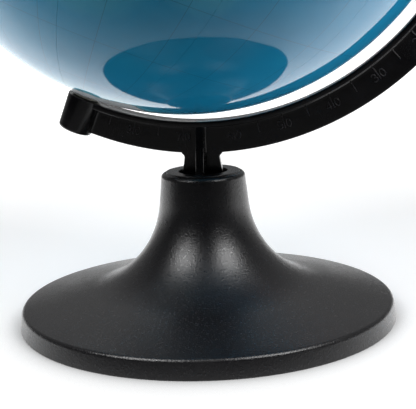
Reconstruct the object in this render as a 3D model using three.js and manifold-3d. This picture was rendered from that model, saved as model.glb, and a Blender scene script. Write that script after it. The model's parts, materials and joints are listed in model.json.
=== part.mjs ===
// A desktop globe: a printed ball on two polar pins, held by a half-meridian arm whose stem
// bolts into a flared stand. Millimetres, +Z up. The origin is the centre of the circle the
// stand rests on, and the arm lies in the XZ plane with its back towards +X.

import * as THREE from "three";
import { mergeVertices } from "three/addons/utils/BufferGeometryUtils.js";
import Module from "manifold-3d";

const wasm = await Module();
wasm.setup();

// ---------------------------------------------------------------- driving dimensions

const baseRadius = 71.5;
const baseHeight = 56;
const baseWall = 2.5;
const rimHeight = 6.8;
const rimDraft = 1;
const rimEdgeRadius = 1;
const coneSlope = 0.22;
const flareRadius = 36;
const neckRadius = 15.8;
const neckDraft = 0.083;
const neckEdgeRadius = 1.8;
const socketFloorThickness = 3;

const ballRadius = 101.6;
const ballWall = 1.5;
const mapThickness = 0.3;
const goreCount = 12;
const capLatitude = 70;
const axisTilt = THREE.MathUtils.degToRad(23.5);

const armBallGap = 2.2;
const armDepth = 11.8;
const railOffset = 1.5;
const armOffset = 2.5;
const webThickness = 3;
const railWidth = 10;
const railThickness = 2.2;
const bossRadius = 6.8;
const bossEndRadius = 6.4;
const bossProud = 1.4;
const bossEdge = 0.8;

const stemHeight = 11.7;
const stemTopHalfWidth = 6.5;
const ribWidth = 3;
const flangeRadius = 8.7;
const flangeThickness = 2;
const flangeEdge = 0.5;
const stemFootInset = 0.25;
const stemFlare = 0.3;
const stemRootDepth = 3;
const seatDepth = 5;
const studRadius = 4.85;
const studLength = 12;
const threadPitch = 2;
const threadDepth = 0.65;

const pinRadius = 1.6;
const pinHeadRadius = 2.7;
const pinHeadThickness = 1.2;
const pinChamfer = 0.4;
const bushRadius = 4.3;
const bushFlangeRadius = 6;
const bushFlangeThickness = 0.7;
const bushDepth = 5;
const thrustWasherRadius = 5;
const thrustWasherThickness = 0.5;
const jointRingHeight = 10;
const jointRingThickness = 1.3;

const nutWasherRim = 4.6;
const nutWasherThickness = 1;
const nutHubWall = 1.85;
const studProud = 0.5;
const nutWallClearance = 1.6;
const nutWingDrop = 5;
const nutWingThickness = 2.6;
const nutWingRoot = 2;
const nutWingTip = 4;
const nutHubDraft = 1;
const nutShoulder = 1.5;

const touchGap = 0.3;
const cutOverrun = 1;
const socketClearance = 0.5;
const boltClearance = 0.55;
const runningClearance = 0.08;

const ballSegments = 36;
const roundSegments = 48;
const smallSegments = 24;
const arcStep = THREE.MathUtils.degToRad(3);

// ---------------------------------------------------------------- places worked out from them

const railInnerRadius = ballRadius + armBallGap;
const armOuterRadius = railInnerRadius + armDepth;
const armCentreZ = baseHeight - seatDepth + stemHeight + armOuterRadius;
const flangeBottomZ = baseHeight - seatDepth;
const socketFloorZ = flangeBottomZ - touchGap;
const washerTopZ = socketFloorZ - socketFloorThickness - touchGap;
const nutTopZ = washerTopZ - nutWasherThickness - touchGap;
const studTipZ = flangeBottomZ - studLength;
const nutHubRadius = studRadius + touchGap + nutHubWall;
const innerNeckZ = socketFloorZ - socketFloorThickness;
const innerNeckRadius = neckRadius + neckDraft * (baseHeight - innerNeckZ) - baseWall;
const nutWingReach = innerNeckRadius - nutWallClearance;
const shellRadius = ballRadius - mapThickness - touchGap;
const bushFlangeStart = ballRadius + touchGap;
const bushFlangeEnd = bushFlangeStart + bushFlangeThickness;
const thrustWasherStart = bushFlangeEnd + touchGap;
const bossStart = thrustWasherStart + thrustWasherThickness + touchGap;
const bossEnd = armOuterRadius + bossProud;
const ballCentre = new THREE.Vector3(
  -armOffset * Math.cos(axisTilt),
  0,
  armCentreZ + armOffset * Math.sin(axisTilt),
);
const railLowestZ = ballCentre.z - railOffset * Math.sin(axisTilt) - railInnerRadius;

// ---------------------------------------------------------------- materials

function plastic(colour, roughness) {
  return new THREE.MeshStandardMaterial({ color: colour, roughness, metalness: 0 });
}

function metal(colour, roughness) {
  return new THREE.MeshStandardMaterial({ color: colour, roughness, metalness: 1 });
}

const materials = {
  stand: plastic(0x1a1a1d, 0.55),
  arm: plastic(0x0c0b0f, 0.25),
  shell: plastic(0xd8dade, 0.45),
  map: plastic(0x146f9f, 0.22),
  bush: plastic(0xe6e4dc, 0.4),
  nut: plastic(0x151517, 0.45),
  steel: metal(0xb8bcc2, 0.3),
};

// ---------------------------------------------------------------- geometry helpers

// Turns a profile of [radius, height] points about the Z axis. The outer side runs upwards.
function lathe(points, segments) {
  const profile = points.map(([r, z]) => new THREE.Vector2(r, z));
  return new THREE.LatheGeometry(profile, segments).rotateX(Math.PI / 2);
}

// A closed ring or tube of rectangular section about the Z axis.
function ring(innerRadius, outerRadius, bottom, top, segments) {
  return lathe(
    [
      [innerRadius, bottom],
      [outerRadius, bottom],
      [outerRadius, top],
      [innerRadius, top],
      [innerRadius, bottom],
    ],
    segments,
  );
}

// A plate whose outline is drawn in X and Z, centred on y = 0.
function plateXZ(shape, thickness, curveSegments = 12) {
  const options = { depth: thickness, bevelEnabled: false, curveSegments };
  return new THREE.ExtrudeGeometry(shape, options).translate(0, 0, -thickness / 2).rotateX(Math.PI / 2);
}

// Points of a circular arc in a profile, from one angle to another, ends included.
function arcPoints(centre, radius, from, to, steps) {
  return Array.from({ length: steps + 1 }, (_, i) => {
    const angle = from + ((to - from) * i) / steps;
    return [centre[0] + radius * Math.cos(angle), centre[1] + radius * Math.sin(angle)];
  });
}

// The radius that a faceted bore needs so that its flats clear a shaft by the given amount.
function boreRadius(shaftRadius, clearance, segments) {
  return (shaftRadius + clearance) / Math.cos(Math.PI / segments);
}

// A closed geometry as a solid for joining and cutting: shared corners merged, slivers dropped.
function solid(geometry) {
  const bare = geometry.clone();
  bare.deleteAttribute("normal");
  bare.deleteAttribute("uv");
  const merged = mergeVertices(bare, 1e-4);
  const index = merged.index.array;
  const kept = [];
  for (let i = 0; i < index.length; i += 3) {
    const [a, b, c] = [index[i], index[i + 1], index[i + 2]];
    if (a !== b && b !== c && c !== a) {
      kept.push(a, b, c);
    }
  }
  const vertProperties = new Float32Array(merged.attributes.position.array);
  return new wasm.Manifold(
    new wasm.Mesh({ numProp: 3, vertProperties, triVerts: new Uint32Array(kept) }),
  );
}

function union(geometries) {
  return geometries.map(solid).reduce((whole, piece) => whole.add(piece));
}

function geometryOf(body) {
  const mesh = body.getMesh();
  const geometry = new THREE.BufferGeometry();
  const count = mesh.vertProperties.length / mesh.numProp;
  const position = new Float32Array(count * 3);
  for (let i = 0; i < count; i += 1) {
    position.set(mesh.vertProperties.subarray(i * mesh.numProp, i * mesh.numProp + 3), i * 3);
  }
  geometry.setAttribute("position", new THREE.BufferAttribute(position, 3));
  geometry.setIndex(new THREE.BufferAttribute(new Uint32Array(mesh.triVerts), 1));
  geometry.computeVertexNormals();
  return geometry;
}

// Puts a geometry made about the polar axis, centre of the ball at its origin, into the world.
function alongPolarAxis(geometry) {
  return geometry.rotateY(axisTilt).translate(ballCentre.x, ballCentre.y, ballCentre.z);
}

function named(name, geometry, material) {
  const mesh = new THREE.Mesh(geometry, material);
  mesh.name = name;
  return mesh;
}

// ---------------------------------------------------------------- stand

// The centre of a circle that touches the drafted neck and the shallow cone from outside.
function flareCentre() {
  const neck = { a: 1, b: neckDraft, c: neckRadius + neckDraft * baseHeight };
  const cone = { a: coneSlope, b: 1, c: coneSlope * (baseRadius - rimDraft) + rimHeight };
  const neckReach = neck.c + flareRadius * Math.hypot(neck.a, neck.b);
  const coneReach = cone.c + flareRadius * Math.hypot(cone.a, cone.b);
  const determinant = neck.a * cone.b - neck.b * cone.a;
  return [
    (neckReach * cone.b - neck.b * coneReach) / determinant,
    (neck.a * coneReach - cone.a * neckReach) / determinant,
  ];
}

// The flare seen in section, from the cone up to the neck, moved inwards by an offset.
function flareProfile(offset, steps) {
  const centre = flareCentre();
  const coneTouch = -Math.PI / 2 - Math.atan(coneSlope);
  const neckTouch = -Math.PI + Math.atan(neckDraft);
  return arcPoints(centre, flareRadius + offset, coneTouch, neckTouch, steps);
}

function baseShell() {
  const rimTopRadius = baseRadius - rimDraft;
  const innerRimZ = rimHeight - baseWall + coneSlope * baseWall;
  const socketRadius = flangeRadius + socketClearance;
  const edgeCentre = [neckRadius - neckEdgeRadius, baseHeight - neckEdgeRadius];
  const profile = [
    [baseRadius, 0],
    [rimTopRadius + (rimDraft * rimEdgeRadius) / rimHeight, rimHeight - rimEdgeRadius],
    [rimTopRadius - rimEdgeRadius, rimHeight + coneSlope * rimEdgeRadius],
    ...flareProfile(0, 9),
    ...arcPoints(edgeCentre, neckEdgeRadius, 0, Math.PI / 2, 3),
    [socketRadius, baseHeight],
    [socketRadius, socketFloorZ],
    [studRadius + boltClearance, socketFloorZ],
    [studRadius + boltClearance, innerNeckZ],
    [innerNeckRadius, innerNeckZ],
    ...flareProfile(baseWall, 7).reverse(),
    [baseRadius - baseWall, innerRimZ],
    [baseRadius - baseWall, 0],
    [baseRadius, 0],
  ];
  return named("base_shell", lathe(profile, roundSegments), materials.stand);
}

function nutWasher() {
  const bottom = washerTopZ - nutWasherThickness;
  const bore = studRadius + boltClearance;
  const geometry = ring(bore, bore + nutWasherRim, bottom, washerTopZ, roundSegments);
  return named("nut_washer", geometry, materials.steel);
}

// Two ears rise from a round hub, away from the washer.
function wingNut() {
  const bottom = studTipZ + studProud;
  const hub = lathe(
    [
      [0, bottom],
      [nutHubRadius - nutHubDraft, bottom],
      [nutHubRadius, nutTopZ - nutShoulder],
      [nutHubRadius, nutTopZ],
      [0, nutTopZ],
    ],
    smallSegments,
  );
  const ears = [1, -1].map((side) => {
    const outline = new THREE.Shape();
    const root = side * (nutHubRadius - nutWingRoot);
    const tip = side * (nutWingReach - nutWingTip / 2);
    const tipZ = bottom - nutWingDrop + nutWingTip / 2;
    outline.moveTo(root, nutTopZ - nutShoulder);
    outline.lineTo(root, bottom + nutShoulder);
    outline.lineTo(side * (nutWingReach - nutWingTip), tipZ);
    outline.quadraticCurveTo(tip, tipZ - nutWingTip, side * nutWingReach, tipZ + nutShoulder);
    outline.lineTo(side * nutHubRadius, nutTopZ - nutShoulder);
    outline.closePath();
    return plateXZ(outline, nutWingThickness, 5);
  });
  const bore = lathe(
    [
      [0, bottom - cutOverrun],
      [studRadius + touchGap, bottom - cutOverrun],
      [studRadius + touchGap, nutTopZ + cutOverrun],
      [0, nutTopZ + cutOverrun],
    ],
    smallSegments,
  );
  return named("wing_nut", geometryOf(union([hub, ...ears]).subtract(solid(bore))), materials.nut);
}

// ---------------------------------------------------------------- meridian arm

// A curved bar of the arm, in the frame of the polar axis. Its inner and outer edges are half
// circles, each with its own centre a little way out along the equator.
function arcBar(innerRadius, innerOffset, outerRadius, outerOffset, thickness) {
  const outline = new THREE.Shape();
  outline.absarc(outerOffset, 0, outerRadius, -Math.PI / 2, Math.PI / 2, false);
  outline.absarc(innerOffset, 0, innerRadius, Math.PI / 2, -Math.PI / 2, true);
  outline.closePath();
  return plateXZ(outline, thickness, Math.round(Math.PI / arcStep));
}

function poleBoss() {
  return lathe(
    [
      [0, bossStart],
      [bossRadius, bossStart],
      [bossEndRadius, bossEnd - bossEdge],
      [bossEndRadius - bossEdge, bossEnd],
      [0, bossEnd],
    ],
    smallSegments,
  );
}

// The pin's hole through a boss, with a counterbore for its head.
function poleBossHole() {
  const hole = pinRadius + touchGap;
  const sink = bossEnd - pinHeadThickness - touchGap;
  return lathe(
    [
      [0, bossStart - cutOverrun],
      [hole, bossStart - cutOverrun],
      [hole, sink - touchGap],
      [pinHeadRadius + touchGap, sink - touchGap],
      [pinHeadRadius + touchGap, bossEnd + cutOverrun],
      [0, bossEnd + cutOverrun],
    ],
    smallSegments,
  );
}

function atSouthPole(geometry) {
  return geometry.rotateY(Math.PI);
}

// The stem's plate, in the plane of the arm: it widens downwards to the flange.
function stemPlate() {
  const top = armCentreZ - armOuterRadius;
  const bottom = flangeBottomZ + flangeThickness / 2;
  const foot = flangeRadius - stemFootInset;
  const bend = foot - stemFlare;
  const bendZ = top - stemHeight / 2;
  const outline = new THREE.Shape();
  outline.moveTo(-stemTopHalfWidth, top + stemRootDepth);
  outline.lineTo(-stemTopHalfWidth, top);
  outline.quadraticCurveTo(-bend, bendZ, -foot, bottom);
  outline.lineTo(foot, bottom);
  outline.quadraticCurveTo(bend, bendZ, stemTopHalfWidth, top);
  outline.lineTo(stemTopHalfWidth, top + stemRootDepth);
  outline.closePath();
  return plateXZ(outline, webThickness, 5);
}

// The rib across the plate, which runs up over the web to the rail.
function stemRib() {
  const top = railLowestZ - railThickness / 2;
  const bottom = flangeBottomZ + flangeThickness / 2;
  const foot = flangeRadius - stemFootInset;
  const outline = new THREE.Shape();
  outline.moveTo(-railWidth / 2, top);
  outline.lineTo(-foot, bottom);
  outline.lineTo(foot, bottom);
  outline.lineTo(railWidth / 2, top);
  outline.closePath();
  return plateXZ(outline, ribWidth).rotateZ(Math.PI / 2);
}

function stemFlange() {
  return lathe(
    [
      [0, flangeBottomZ],
      [flangeRadius - flangeEdge, flangeBottomZ],
      [flangeRadius, flangeBottomZ + flangeEdge],
      [flangeRadius, flangeBottomZ + flangeThickness - flangeEdge],
      [flangeRadius - flangeEdge, flangeBottomZ + flangeThickness],
      [0, flangeBottomZ + flangeThickness],
    ],
    roundSegments,
  );
}

// A right-hand thread: the radius falls from crest to root and back once in every pitch, and
// the pattern climbs one pitch in every turn.
function threadedStud() {
  const stepsPerPitch = 4;
  const tip = studTipZ;
  const top = flangeBottomZ + flangeThickness / 2;
  const rows = Math.ceil(((top - tip) / threadPitch) * stepsPerPitch);
  const position = [0, 0, tip];
  for (let row = 0; row <= rows; row += 1) {
    const z = tip + ((top - tip) * row) / rows;
    for (let i = 0; i < smallSegments; i += 1) {
      const turn = i / smallSegments;
      const phase = (((z / threadPitch - turn) % 1) + 1) % 1;
      const ends = Math.min(1, row / 2);
      const depth = threadDepth * (1 - Math.abs(1 - 2 * phase)) * ends + threadDepth * (1 - ends);
      const radius = studRadius - depth;
      const angle = turn * 2 * Math.PI;
      position.push(radius * Math.cos(angle), radius * Math.sin(angle), z);
    }
  }
  position.push(0, 0, top);
  const apex = 1 + (rows + 1) * smallSegments;
  const index = [];
  for (let i = 0; i < smallSegments; i += 1) {
    const next = (i + 1) % smallSegments;
    index.push(0, 1 + next, 1 + i);
    for (let row = 0; row < rows; row += 1) {
      const low = 1 + row * smallSegments;
      const high = low + smallSegments;
      index.push(low + i, low + next, high + next, low + i, high + next, high + i);
    }
    const last = 1 + rows * smallSegments;
    index.push(last + i, last + next, apex);
  }
  const geometry = new THREE.BufferGeometry();
  geometry.setAttribute("position", new THREE.Float32BufferAttribute(position, 3));
  geometry.setIndex(index);
  return geometry;
}

function meridianArm() {
  const railOuterRadius = railInnerRadius + railThickness;
  const railMiddle = railInnerRadius + railThickness / 2;
  const rail = arcBar(railInnerRadius, railOffset, railOuterRadius, railOffset, railWidth);
  const web = arcBar(railMiddle, railOffset, armOuterRadius, armOffset, webThickness);
  const turned = [rail, web, poleBoss(), atSouthPole(poleBoss())].map(alongPolarAxis);
  const upright = [stemPlate(), stemRib(), stemFlange(), threadedStud()];
  const holes = [poleBossHole(), atSouthPole(poleBossHole())].map(alongPolarAxis);
  const arm = union([...turned, ...upright]).subtract(union(holes));
  return named("meridian_arm", geometryOf(arm), materials.arm);
}

// ---------------------------------------------------------------- polar pins and bearings

function pivotPin() {
  const headBase = bossEnd - pinHeadThickness - touchGap;
  const tip = bushFlangeStart - bushDepth + 1;
  return lathe(
    [
      [0, tip],
      [pinRadius - pinChamfer, tip],
      [pinRadius, tip + pinChamfer],
      [pinRadius, headBase],
      [pinHeadRadius, headBase],
      [pinHeadRadius, headBase + pinHeadThickness * 0.6],
      [pinHeadRadius * 0.6, headBase + pinHeadThickness],
      [0, headBase + pinHeadThickness],
    ],
    smallSegments,
  );
}

function thrustWasher() {
  const end = thrustWasherStart + thrustWasherThickness;
  return ring(pinRadius + touchGap, thrustWasherRadius, thrustWasherStart, end, smallSegments);
}

function poleBush() {
  const bore = boreRadius(pinRadius, runningClearance, smallSegments);
  return lathe(
    [
      [bore, bushFlangeStart - bushDepth],
      [bushRadius, bushFlangeStart - bushDepth],
      [bushRadius, bushFlangeStart],
      [bushFlangeRadius, bushFlangeStart],
      [bushFlangeRadius, bushFlangeEnd],
      [bore, bushFlangeEnd],
      [bore, bushFlangeStart - bushDepth],
    ],
    smallSegments,
  );
}

// Each is made at the north pole and turned over for the south.
function polePieces() {
  const made = [
    ["pivot_pin", pivotPin, materials.steel],
    ["thrust_washer", thrustWasher, materials.bush],
    ["pole_bush", poleBush, materials.bush],
  ];
  return made.flatMap(([name, make, material]) => [
    named(`north_${name}`, make(), material),
    named(`south_${name}`, atSouthPole(make()), material),
  ]);
}

// ---------------------------------------------------------------- ball

const rowStep = (2 * Math.PI) / ballSegments;

// Latitudes from one parallel to another: both ends, and every whole row between them.
function latitudeRows(from, to) {
  const rows = [from];
  for (let i = Math.ceil(from / rowStep + 0.05); i * rowStep < to - 0.05 * rowStep; i += 1) {
    rows.push(i * rowStep);
  }
  return [...rows, to];
}

function sphereProfile(radius, rows) {
  return rows.map((latitude) => [radius * Math.cos(latitude), radius * Math.sin(latitude)]);
}

// A round skin or shell between two parallels and two radii.
function zoneShell(innerRadius, outerRadius, from, to) {
  const rows = latitudeRows(from, to);
  const outer = sphereProfile(outerRadius, rows);
  const inner = sphereProfile(innerRadius, rows).reverse();
  return lathe([...outer, ...inner, outer[0]], ballSegments);
}

function hemisphere() {
  const halfGap = touchGap / 2 / shellRadius;
  const hole = Math.acos((bushRadius + touchGap) / shellRadius);
  return zoneShell(shellRadius - ballWall, shellRadius, halfGap, hole);
}

function mapCap() {
  const start = THREE.MathUtils.degToRad(capLatitude) + touchGap / 2 / ballRadius;
  const hole = Math.acos((bushRadius + 2 * touchGap) / ballRadius);
  return zoneShell(ballRadius - mapThickness, ballRadius, start, hole);
}

// One printed gore: a curved strip between two meridians, with an even seam to its neighbours.
function mapGore(number) {
  const width = (2 * Math.PI) / goreCount;
  const seam = touchGap / 2 / ballRadius;
  const limit = THREE.MathUtils.degToRad(capLatitude) - seam;
  const rows = latitudeRows(-limit, limit);
  const columns = ballSegments / goreCount;
  const radii = [ballRadius - mapThickness, ballRadius];
  const position = [];
  radii.forEach((radius) => {
    rows.forEach((latitude) => {
      const inset = seam / Math.cos(latitude);
      for (let i = 0; i <= columns; i += 1) {
        const whole = (number * width) + (i * width) / columns;
        const longitude = whole + (i === 0 ? inset : 0) - (i === columns ? inset : 0);
        position.push(
          radius * Math.cos(latitude) * Math.sin(longitude),
          -radius * Math.cos(latitude) * Math.cos(longitude),
          radius * Math.sin(latitude),
        );
      }
    });
  });
  const stride = columns + 1;
  const layer = rows.length * stride;
  const index = [];
  const quad = (a, b, c, d) => index.push(a, b, c, a, c, d);
  for (let row = 0; row < rows.length - 1; row += 1) {
    for (let i = 0; i < columns; i += 1) {
      const a = row * stride + i;
      quad(layer + a, layer + a + 1, layer + a + 1 + stride, layer + a + stride);
      quad(a, a + stride, a + 1 + stride, a + 1);
    }
    const west = row * stride;
    const east = west + columns;
    quad(west, layer + west, layer + west + stride, west + stride);
    quad(east, east + stride, layer + east + stride, layer + east);
  }
  for (let i = 0; i < columns; i += 1) {
    const top = (rows.length - 1) * stride + i;
    quad(i, i + 1, layer + i + 1, layer + i);
    quad(top, layer + top, layer + top + 1, top + 1);
  }
  const geometry = new THREE.BufferGeometry();
  geometry.setAttribute("position", new THREE.Float32BufferAttribute(position, 3));
  geometry.setIndex(index);
  geometry.computeVertexNormals();
  return geometry;
}

// The hoop that lines up and joins the two half shells from inside.
function jointRing() {
  const halfHeight = jointRingHeight / 2;
  const innerWall = Math.sqrt((shellRadius - ballWall) ** 2 - halfHeight ** 2);
  const outer = innerWall * Math.cos(rowStep / 2) - touchGap;
  return ring(outer - jointRingThickness, outer, -halfHeight, halfHeight, ballSegments);
}

function ballPieces() {
  const gores = Array.from({ length: goreCount }, (_, i) =>
    named(`map_gore_${String(i + 1).padStart(2, "0")}`, mapGore(i), materials.map),
  );
  return [
    named("north_hemisphere", hemisphere(), materials.shell),
    named("south_hemisphere", atSouthPole(hemisphere()), materials.shell),
    named("equator_joint_ring", jointRing(), materials.shell),
    named("north_map_cap", mapCap(), materials.map),
    named("south_map_cap", atSouthPole(mapCap()), materials.map),
    ...gores,
  ];
}

// ---------------------------------------------------------------- assembly

const polarGroup = new THREE.Group();
polarGroup.position.copy(ballCentre);
polarGroup.rotation.y = axisTilt;
polarGroup.add(...polePieces(), ...ballPieces());

const globe = new THREE.Group();
globe.add(baseShell(), nutWasher(), wingNut(), meridianArm(), polarGroup);

export default globe;
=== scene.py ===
"""A desktop globe on a flared stand: the printed ball, the curved arm that holds it by two
pins, and the moulded stand that the arm's threaded stem bolts into.

Lengths are in millimetres until a mesh is made. The ball and most of the arm are worked out
about the polar axis, centre of the ball at the origin, and then turned into place.
"""

import json
import math

import bmesh
import bpy
import numpy as np
from mathutils import Matrix, Vector


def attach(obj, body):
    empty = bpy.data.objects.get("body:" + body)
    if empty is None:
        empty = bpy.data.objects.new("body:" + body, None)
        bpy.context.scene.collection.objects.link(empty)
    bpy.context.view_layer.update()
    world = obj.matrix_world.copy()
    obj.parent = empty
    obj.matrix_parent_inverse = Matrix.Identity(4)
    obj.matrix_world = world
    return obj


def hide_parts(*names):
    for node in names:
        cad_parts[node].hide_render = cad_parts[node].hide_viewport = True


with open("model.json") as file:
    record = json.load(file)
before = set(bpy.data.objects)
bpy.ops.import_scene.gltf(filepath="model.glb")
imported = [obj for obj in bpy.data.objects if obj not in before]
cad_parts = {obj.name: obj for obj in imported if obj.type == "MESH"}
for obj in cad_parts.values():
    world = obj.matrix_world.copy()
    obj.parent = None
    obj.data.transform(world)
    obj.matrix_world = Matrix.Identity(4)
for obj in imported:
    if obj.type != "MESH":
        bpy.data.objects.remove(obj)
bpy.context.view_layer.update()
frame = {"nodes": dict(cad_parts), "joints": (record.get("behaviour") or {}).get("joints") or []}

# ------------------------------------------------------------------ sizes

METRE = 0.001

# The stand, its neck and the socket in it.
BASE_RADIUS = 71.5
BASE_HEIGHT = 56.0
BASE_WALL = 2.5
RIM_HEIGHT = 6.8
RIM_DRAFT = 1.0
RIM_EDGE = 1.3
CONE_SLOPE = 0.22
FLARE_RADIUS = 36.0
NECK_RADIUS = 15.8
NECK_DRAFT = 0.083
NECK_EDGE = 1.8
LAND_RADIUS = 13.9
LAND_STEP = 0.45
SOCKET_RADIUS = 9.2
SOCKET_FLOOR = 50.7
STUD_HOLE = 5.4
NECK_CEILING = 47.7
INNER_NECK_RADIUS = 13.99

# The ball and the print on it. SEAM is half the gap between two gores.
BALL_RADIUS = 101.6
MAP_THICKNESS = 0.3
GORE_COUNT = 12
CAP_LATITUDE = 70.0
SEAM = 0.03
FRONT_LONGITUDE = 20.0
FRONT_AZIMUTH = 9.9
CAP_HOLE = 4.9

# The arm: radii from the middle of its circles, and its bosses along the polar axis.
RAIL_INNER = 103.8
RAIL_OFFSET = 1.5
RAIL_THICKNESS = 2.2
RAIL_HALF_WIDTH = 5.0
WEB_OUTER = 115.6
WEB_OFFSET = 2.5
WEB_HALF = 1.5
BOSS_RADIUS = 6.8
BOSS_END_RADIUS = 6.4
BOSS_START = 103.7
BOSS_END = 117.0
BOSS_SINK = 115.2
SINK_RADIUS = 3.0
PIN_HOLE = 1.9
TICK_START = 105.4
FIGURE_MIDDLE = 109.5
COVERED_TICK = -65

# The stem below the arm, as heights over the floor.
FLANGE_BOTTOM = 51.0
FLANGE_TOP = 53.0
FLANGE_RADIUS = 8.7
STEM_TOP = 62.7
STEM_TOP_HALF = 6.6
STEM_FOOT_HALF = 8.45
RIB_TOP = 73.6
ROOT_INSET = 0.6
STUD_RADIUS = 4.85
STUD_TIP = 39.0
THREAD_PITCH = 2.0
THREAD_DEPTH = 0.65

# The nut and washer under the socket.
NUT_TOP = 46.1
NUT_BOTTOM = 39.5
NUT_HUB = 7.0
NUT_BORE = 5.15
NUT_REACH = 12.39
EAR_HALF = 1.3
EAR_EDGE = 0.6
WASHER_TOP = 47.4
WASHER_THICKNESS = 1.0
WASHER_WIDTH = 4.6

# The pins, bushes and slip washers, along the polar axis from the ball's centre.
PIN_RADIUS = 1.6
PIN_TIP = 97.9
PIN_HEAD = 115.5
PIN_HEAD_RADIUS = 2.7
BUSH_BORE = 1.75
BUSH_RADIUS = 4.3
BUSH_LIP_RADIUS = 6.0
BUSH_BOTTOM = 96.9
BUSH_LIP = 101.9
BUSH_TOP = 102.6
SLIP_WASHER = (PIN_HOLE, 5.0, 102.9, 103.4)

LATHE_STEPS = 256
BOSS_STEPS = 96
SMALL_STEPS = 64

JOINTS = {joint["name"]: joint for joint in frame["joints"]}
BALL_CENTRE = np.array(JOINTS["globe_spin"]["pos_m"]) / METRE
POLAR_AXIS = np.array(JOINTS["globe_spin"]["axis"])
TILT = math.atan2(POLAR_AXIS[0], POLAR_AXIS[2])


# ------------------------------------------------------------------ mesh tools

def surface(grid):
    """A grid of points, rows by columns by three and closed along each row, as points and
    four-sided faces (i, j), (i, j+1), (i+1, j+1), (i+1, j). They face along the column
    direction crossed with the row direction."""
    rows, columns = grid.shape[:2]
    i, j = np.meshgrid(np.arange(rows - 1), np.arange(columns), indexing="ij")
    k = (j + 1) % columns
    faces = np.stack((i * columns + j, i * columns + k, (i + 1) * columns + k,
                      (i + 1) * columns + j), axis=-1)
    return grid.reshape(-1, 3), faces.reshape(-1, 4)


def capped(grid, first=None, last=None):
    """A tube closed at both ends by a row drawn together to a point: the middle of the end
    row where no point is given."""
    ends = []
    for row, point in ((grid[0], first), (grid[-1], last)):
        point = row.mean(axis=0) if point is None else point
        ends.append(np.broadcast_to(point, row.shape)[None])
    return surface(np.concatenate((ends[0], grid, ends[1])))


def joined(*parts):
    """Several (points, faces) surfaces as one, the later faces numbered on from the earlier."""
    starts = np.cumsum([0] + [len(points) for points, _ in parts[:-1]])
    points = np.concatenate([points for points, _ in parts])
    faces = np.concatenate([faces + start for (_, faces), start in zip(parts, starts)])
    return points, faces


def make_piece(name, shape, finish, body, nodes=(), crease=32.0, merge=True):
    """Puts points in millimetres and their faces into a mesh, closes its seams and poles,
    smooths it below the crease angle, and hands it to the frame."""
    points, faces = shape
    mesh = bpy.data.meshes.new(name)
    mesh.vertices.add(len(points))
    mesh.vertices.foreach_set("co", (points * METRE).astype(np.float32).ravel())
    mesh.loops.add(faces.size)
    mesh.loops.foreach_set("vertex_index", faces.astype(np.int32).ravel())
    mesh.polygons.add(len(faces))
    starts = np.arange(len(faces), dtype=np.int32) * faces.shape[1]
    mesh.polygons.foreach_set("loop_start", starts)
    mesh.update(calc_edges=True)
    if merge:
        close_seams(mesh)
    mesh.validate()
    mesh.shade_smooth()
    mesh.set_sharp_from_angle(angle=math.radians(crease))
    mesh.materials.append(finish)
    piece = bpy.data.objects.new(name, mesh)
    bpy.context.scene.collection.objects.link(piece)
    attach(piece, body)
    if nodes:
        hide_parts(*nodes)
    return piece


def close_seams(mesh):
    """Merges points that lie on each other, so that poles and seams are closed."""
    work = bmesh.new()
    work.from_mesh(mesh)
    bmesh.ops.remove_doubles(work, verts=work.verts, dist=2e-6)
    bmesh.ops.dissolve_degenerate(work, edges=work.edges, dist=1e-7)
    work.to_mesh(mesh)
    work.free()


def lathe(profile, steps=LATHE_STEPS):
    """Turns (radius, height) points about the upright axis: (r cos t, r sin t, z). The outer
    side of the profile runs upwards."""
    profile = np.asarray(profile, float)
    t = np.linspace(0, 2 * np.pi, steps, endpoint=False)
    r, z = profile[:, :1], profile[:, 1:]
    grid = np.stack((r * np.cos(t), r * np.sin(t), z + 0 * t), axis=-1)
    return surface(grid)


def ellipse(centre, size, start, end, steps):
    """Points of an ellipse's arc between two angles in degrees, ends included."""
    t = np.radians(np.linspace(start, end, steps + 1))
    return np.stack((centre[0] + size[0] * np.cos(t), centre[1] + size[1] * np.sin(t)), -1)


def arc(centre, radius, start, end, steps):
    """Points of a circle's arc between two angles in degrees, ends included."""
    return ellipse(centre, (radius, radius), start, end, steps)


def rounded(points, radii, steps=4):
    """A closed or open profile with its corners rounded: each corner is replaced by the
    quadratic curve (1-u)^2 a + 2u(1-u) b + u^2 c between points a radius away along its two
    sides. A radius of zero keeps the corner."""
    points = np.asarray(points, float)
    out = []
    for k, (corner, radius) in enumerate(zip(points, radii)):
        if radius == 0:
            out.append(corner[None])
            continue
        before, after = points[k - 1], points[(k + 1) % len(points)]
        a = corner + (before - corner) * radius / np.linalg.norm(before - corner)
        c = corner + (after - corner) * radius / np.linalg.norm(after - corner)
        u = np.linspace(0, 1, steps + 1)[:, None]
        out.append((1 - u) ** 2 * a + 2 * u * (1 - u) * corner + u ** 2 * c)
    return np.concatenate(out)


def rounded_ring(points, radii, steps):
    """A rounded profile that ends where it starts."""
    profile = rounded(points, radii, steps)
    return np.concatenate((profile, profile[:1]))


def from_polar(points):
    """Polar-axis points turned by the tilt about Y and moved to the ball's centre."""
    x, y, z = np.moveaxis(points, -1, 0)
    turned = (x * math.cos(TILT) + z * math.sin(TILT), y,
              z * math.cos(TILT) - x * math.sin(TILT))
    return np.stack(turned, axis=-1) + BALL_CENTRE


def placed_polar(shape, south=False):
    """A lathe made at the north pole put in place, or turned half round about Y first."""
    points, faces = shape
    if south:
        points = points * np.array([-1.0, 1.0, -1.0])
    return from_polar(points), faces


# ------------------------------------------------------------------ shader tools

def link(tree, value, socket):
    """Feeds a socket from another socket, or sets it."""
    if isinstance(value, bpy.types.NodeSocket):
        tree.links.new(value, socket)
    else:
        socket.default_value = value


def maths(tree, operation, *values):
    """The result of a sum on numbers or sockets."""
    node = tree.nodes.new("ShaderNodeMath")
    node.operation = operation
    for value, socket in zip(values, node.inputs):
        link(tree, value, socket)
    return node.outputs[0]


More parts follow.
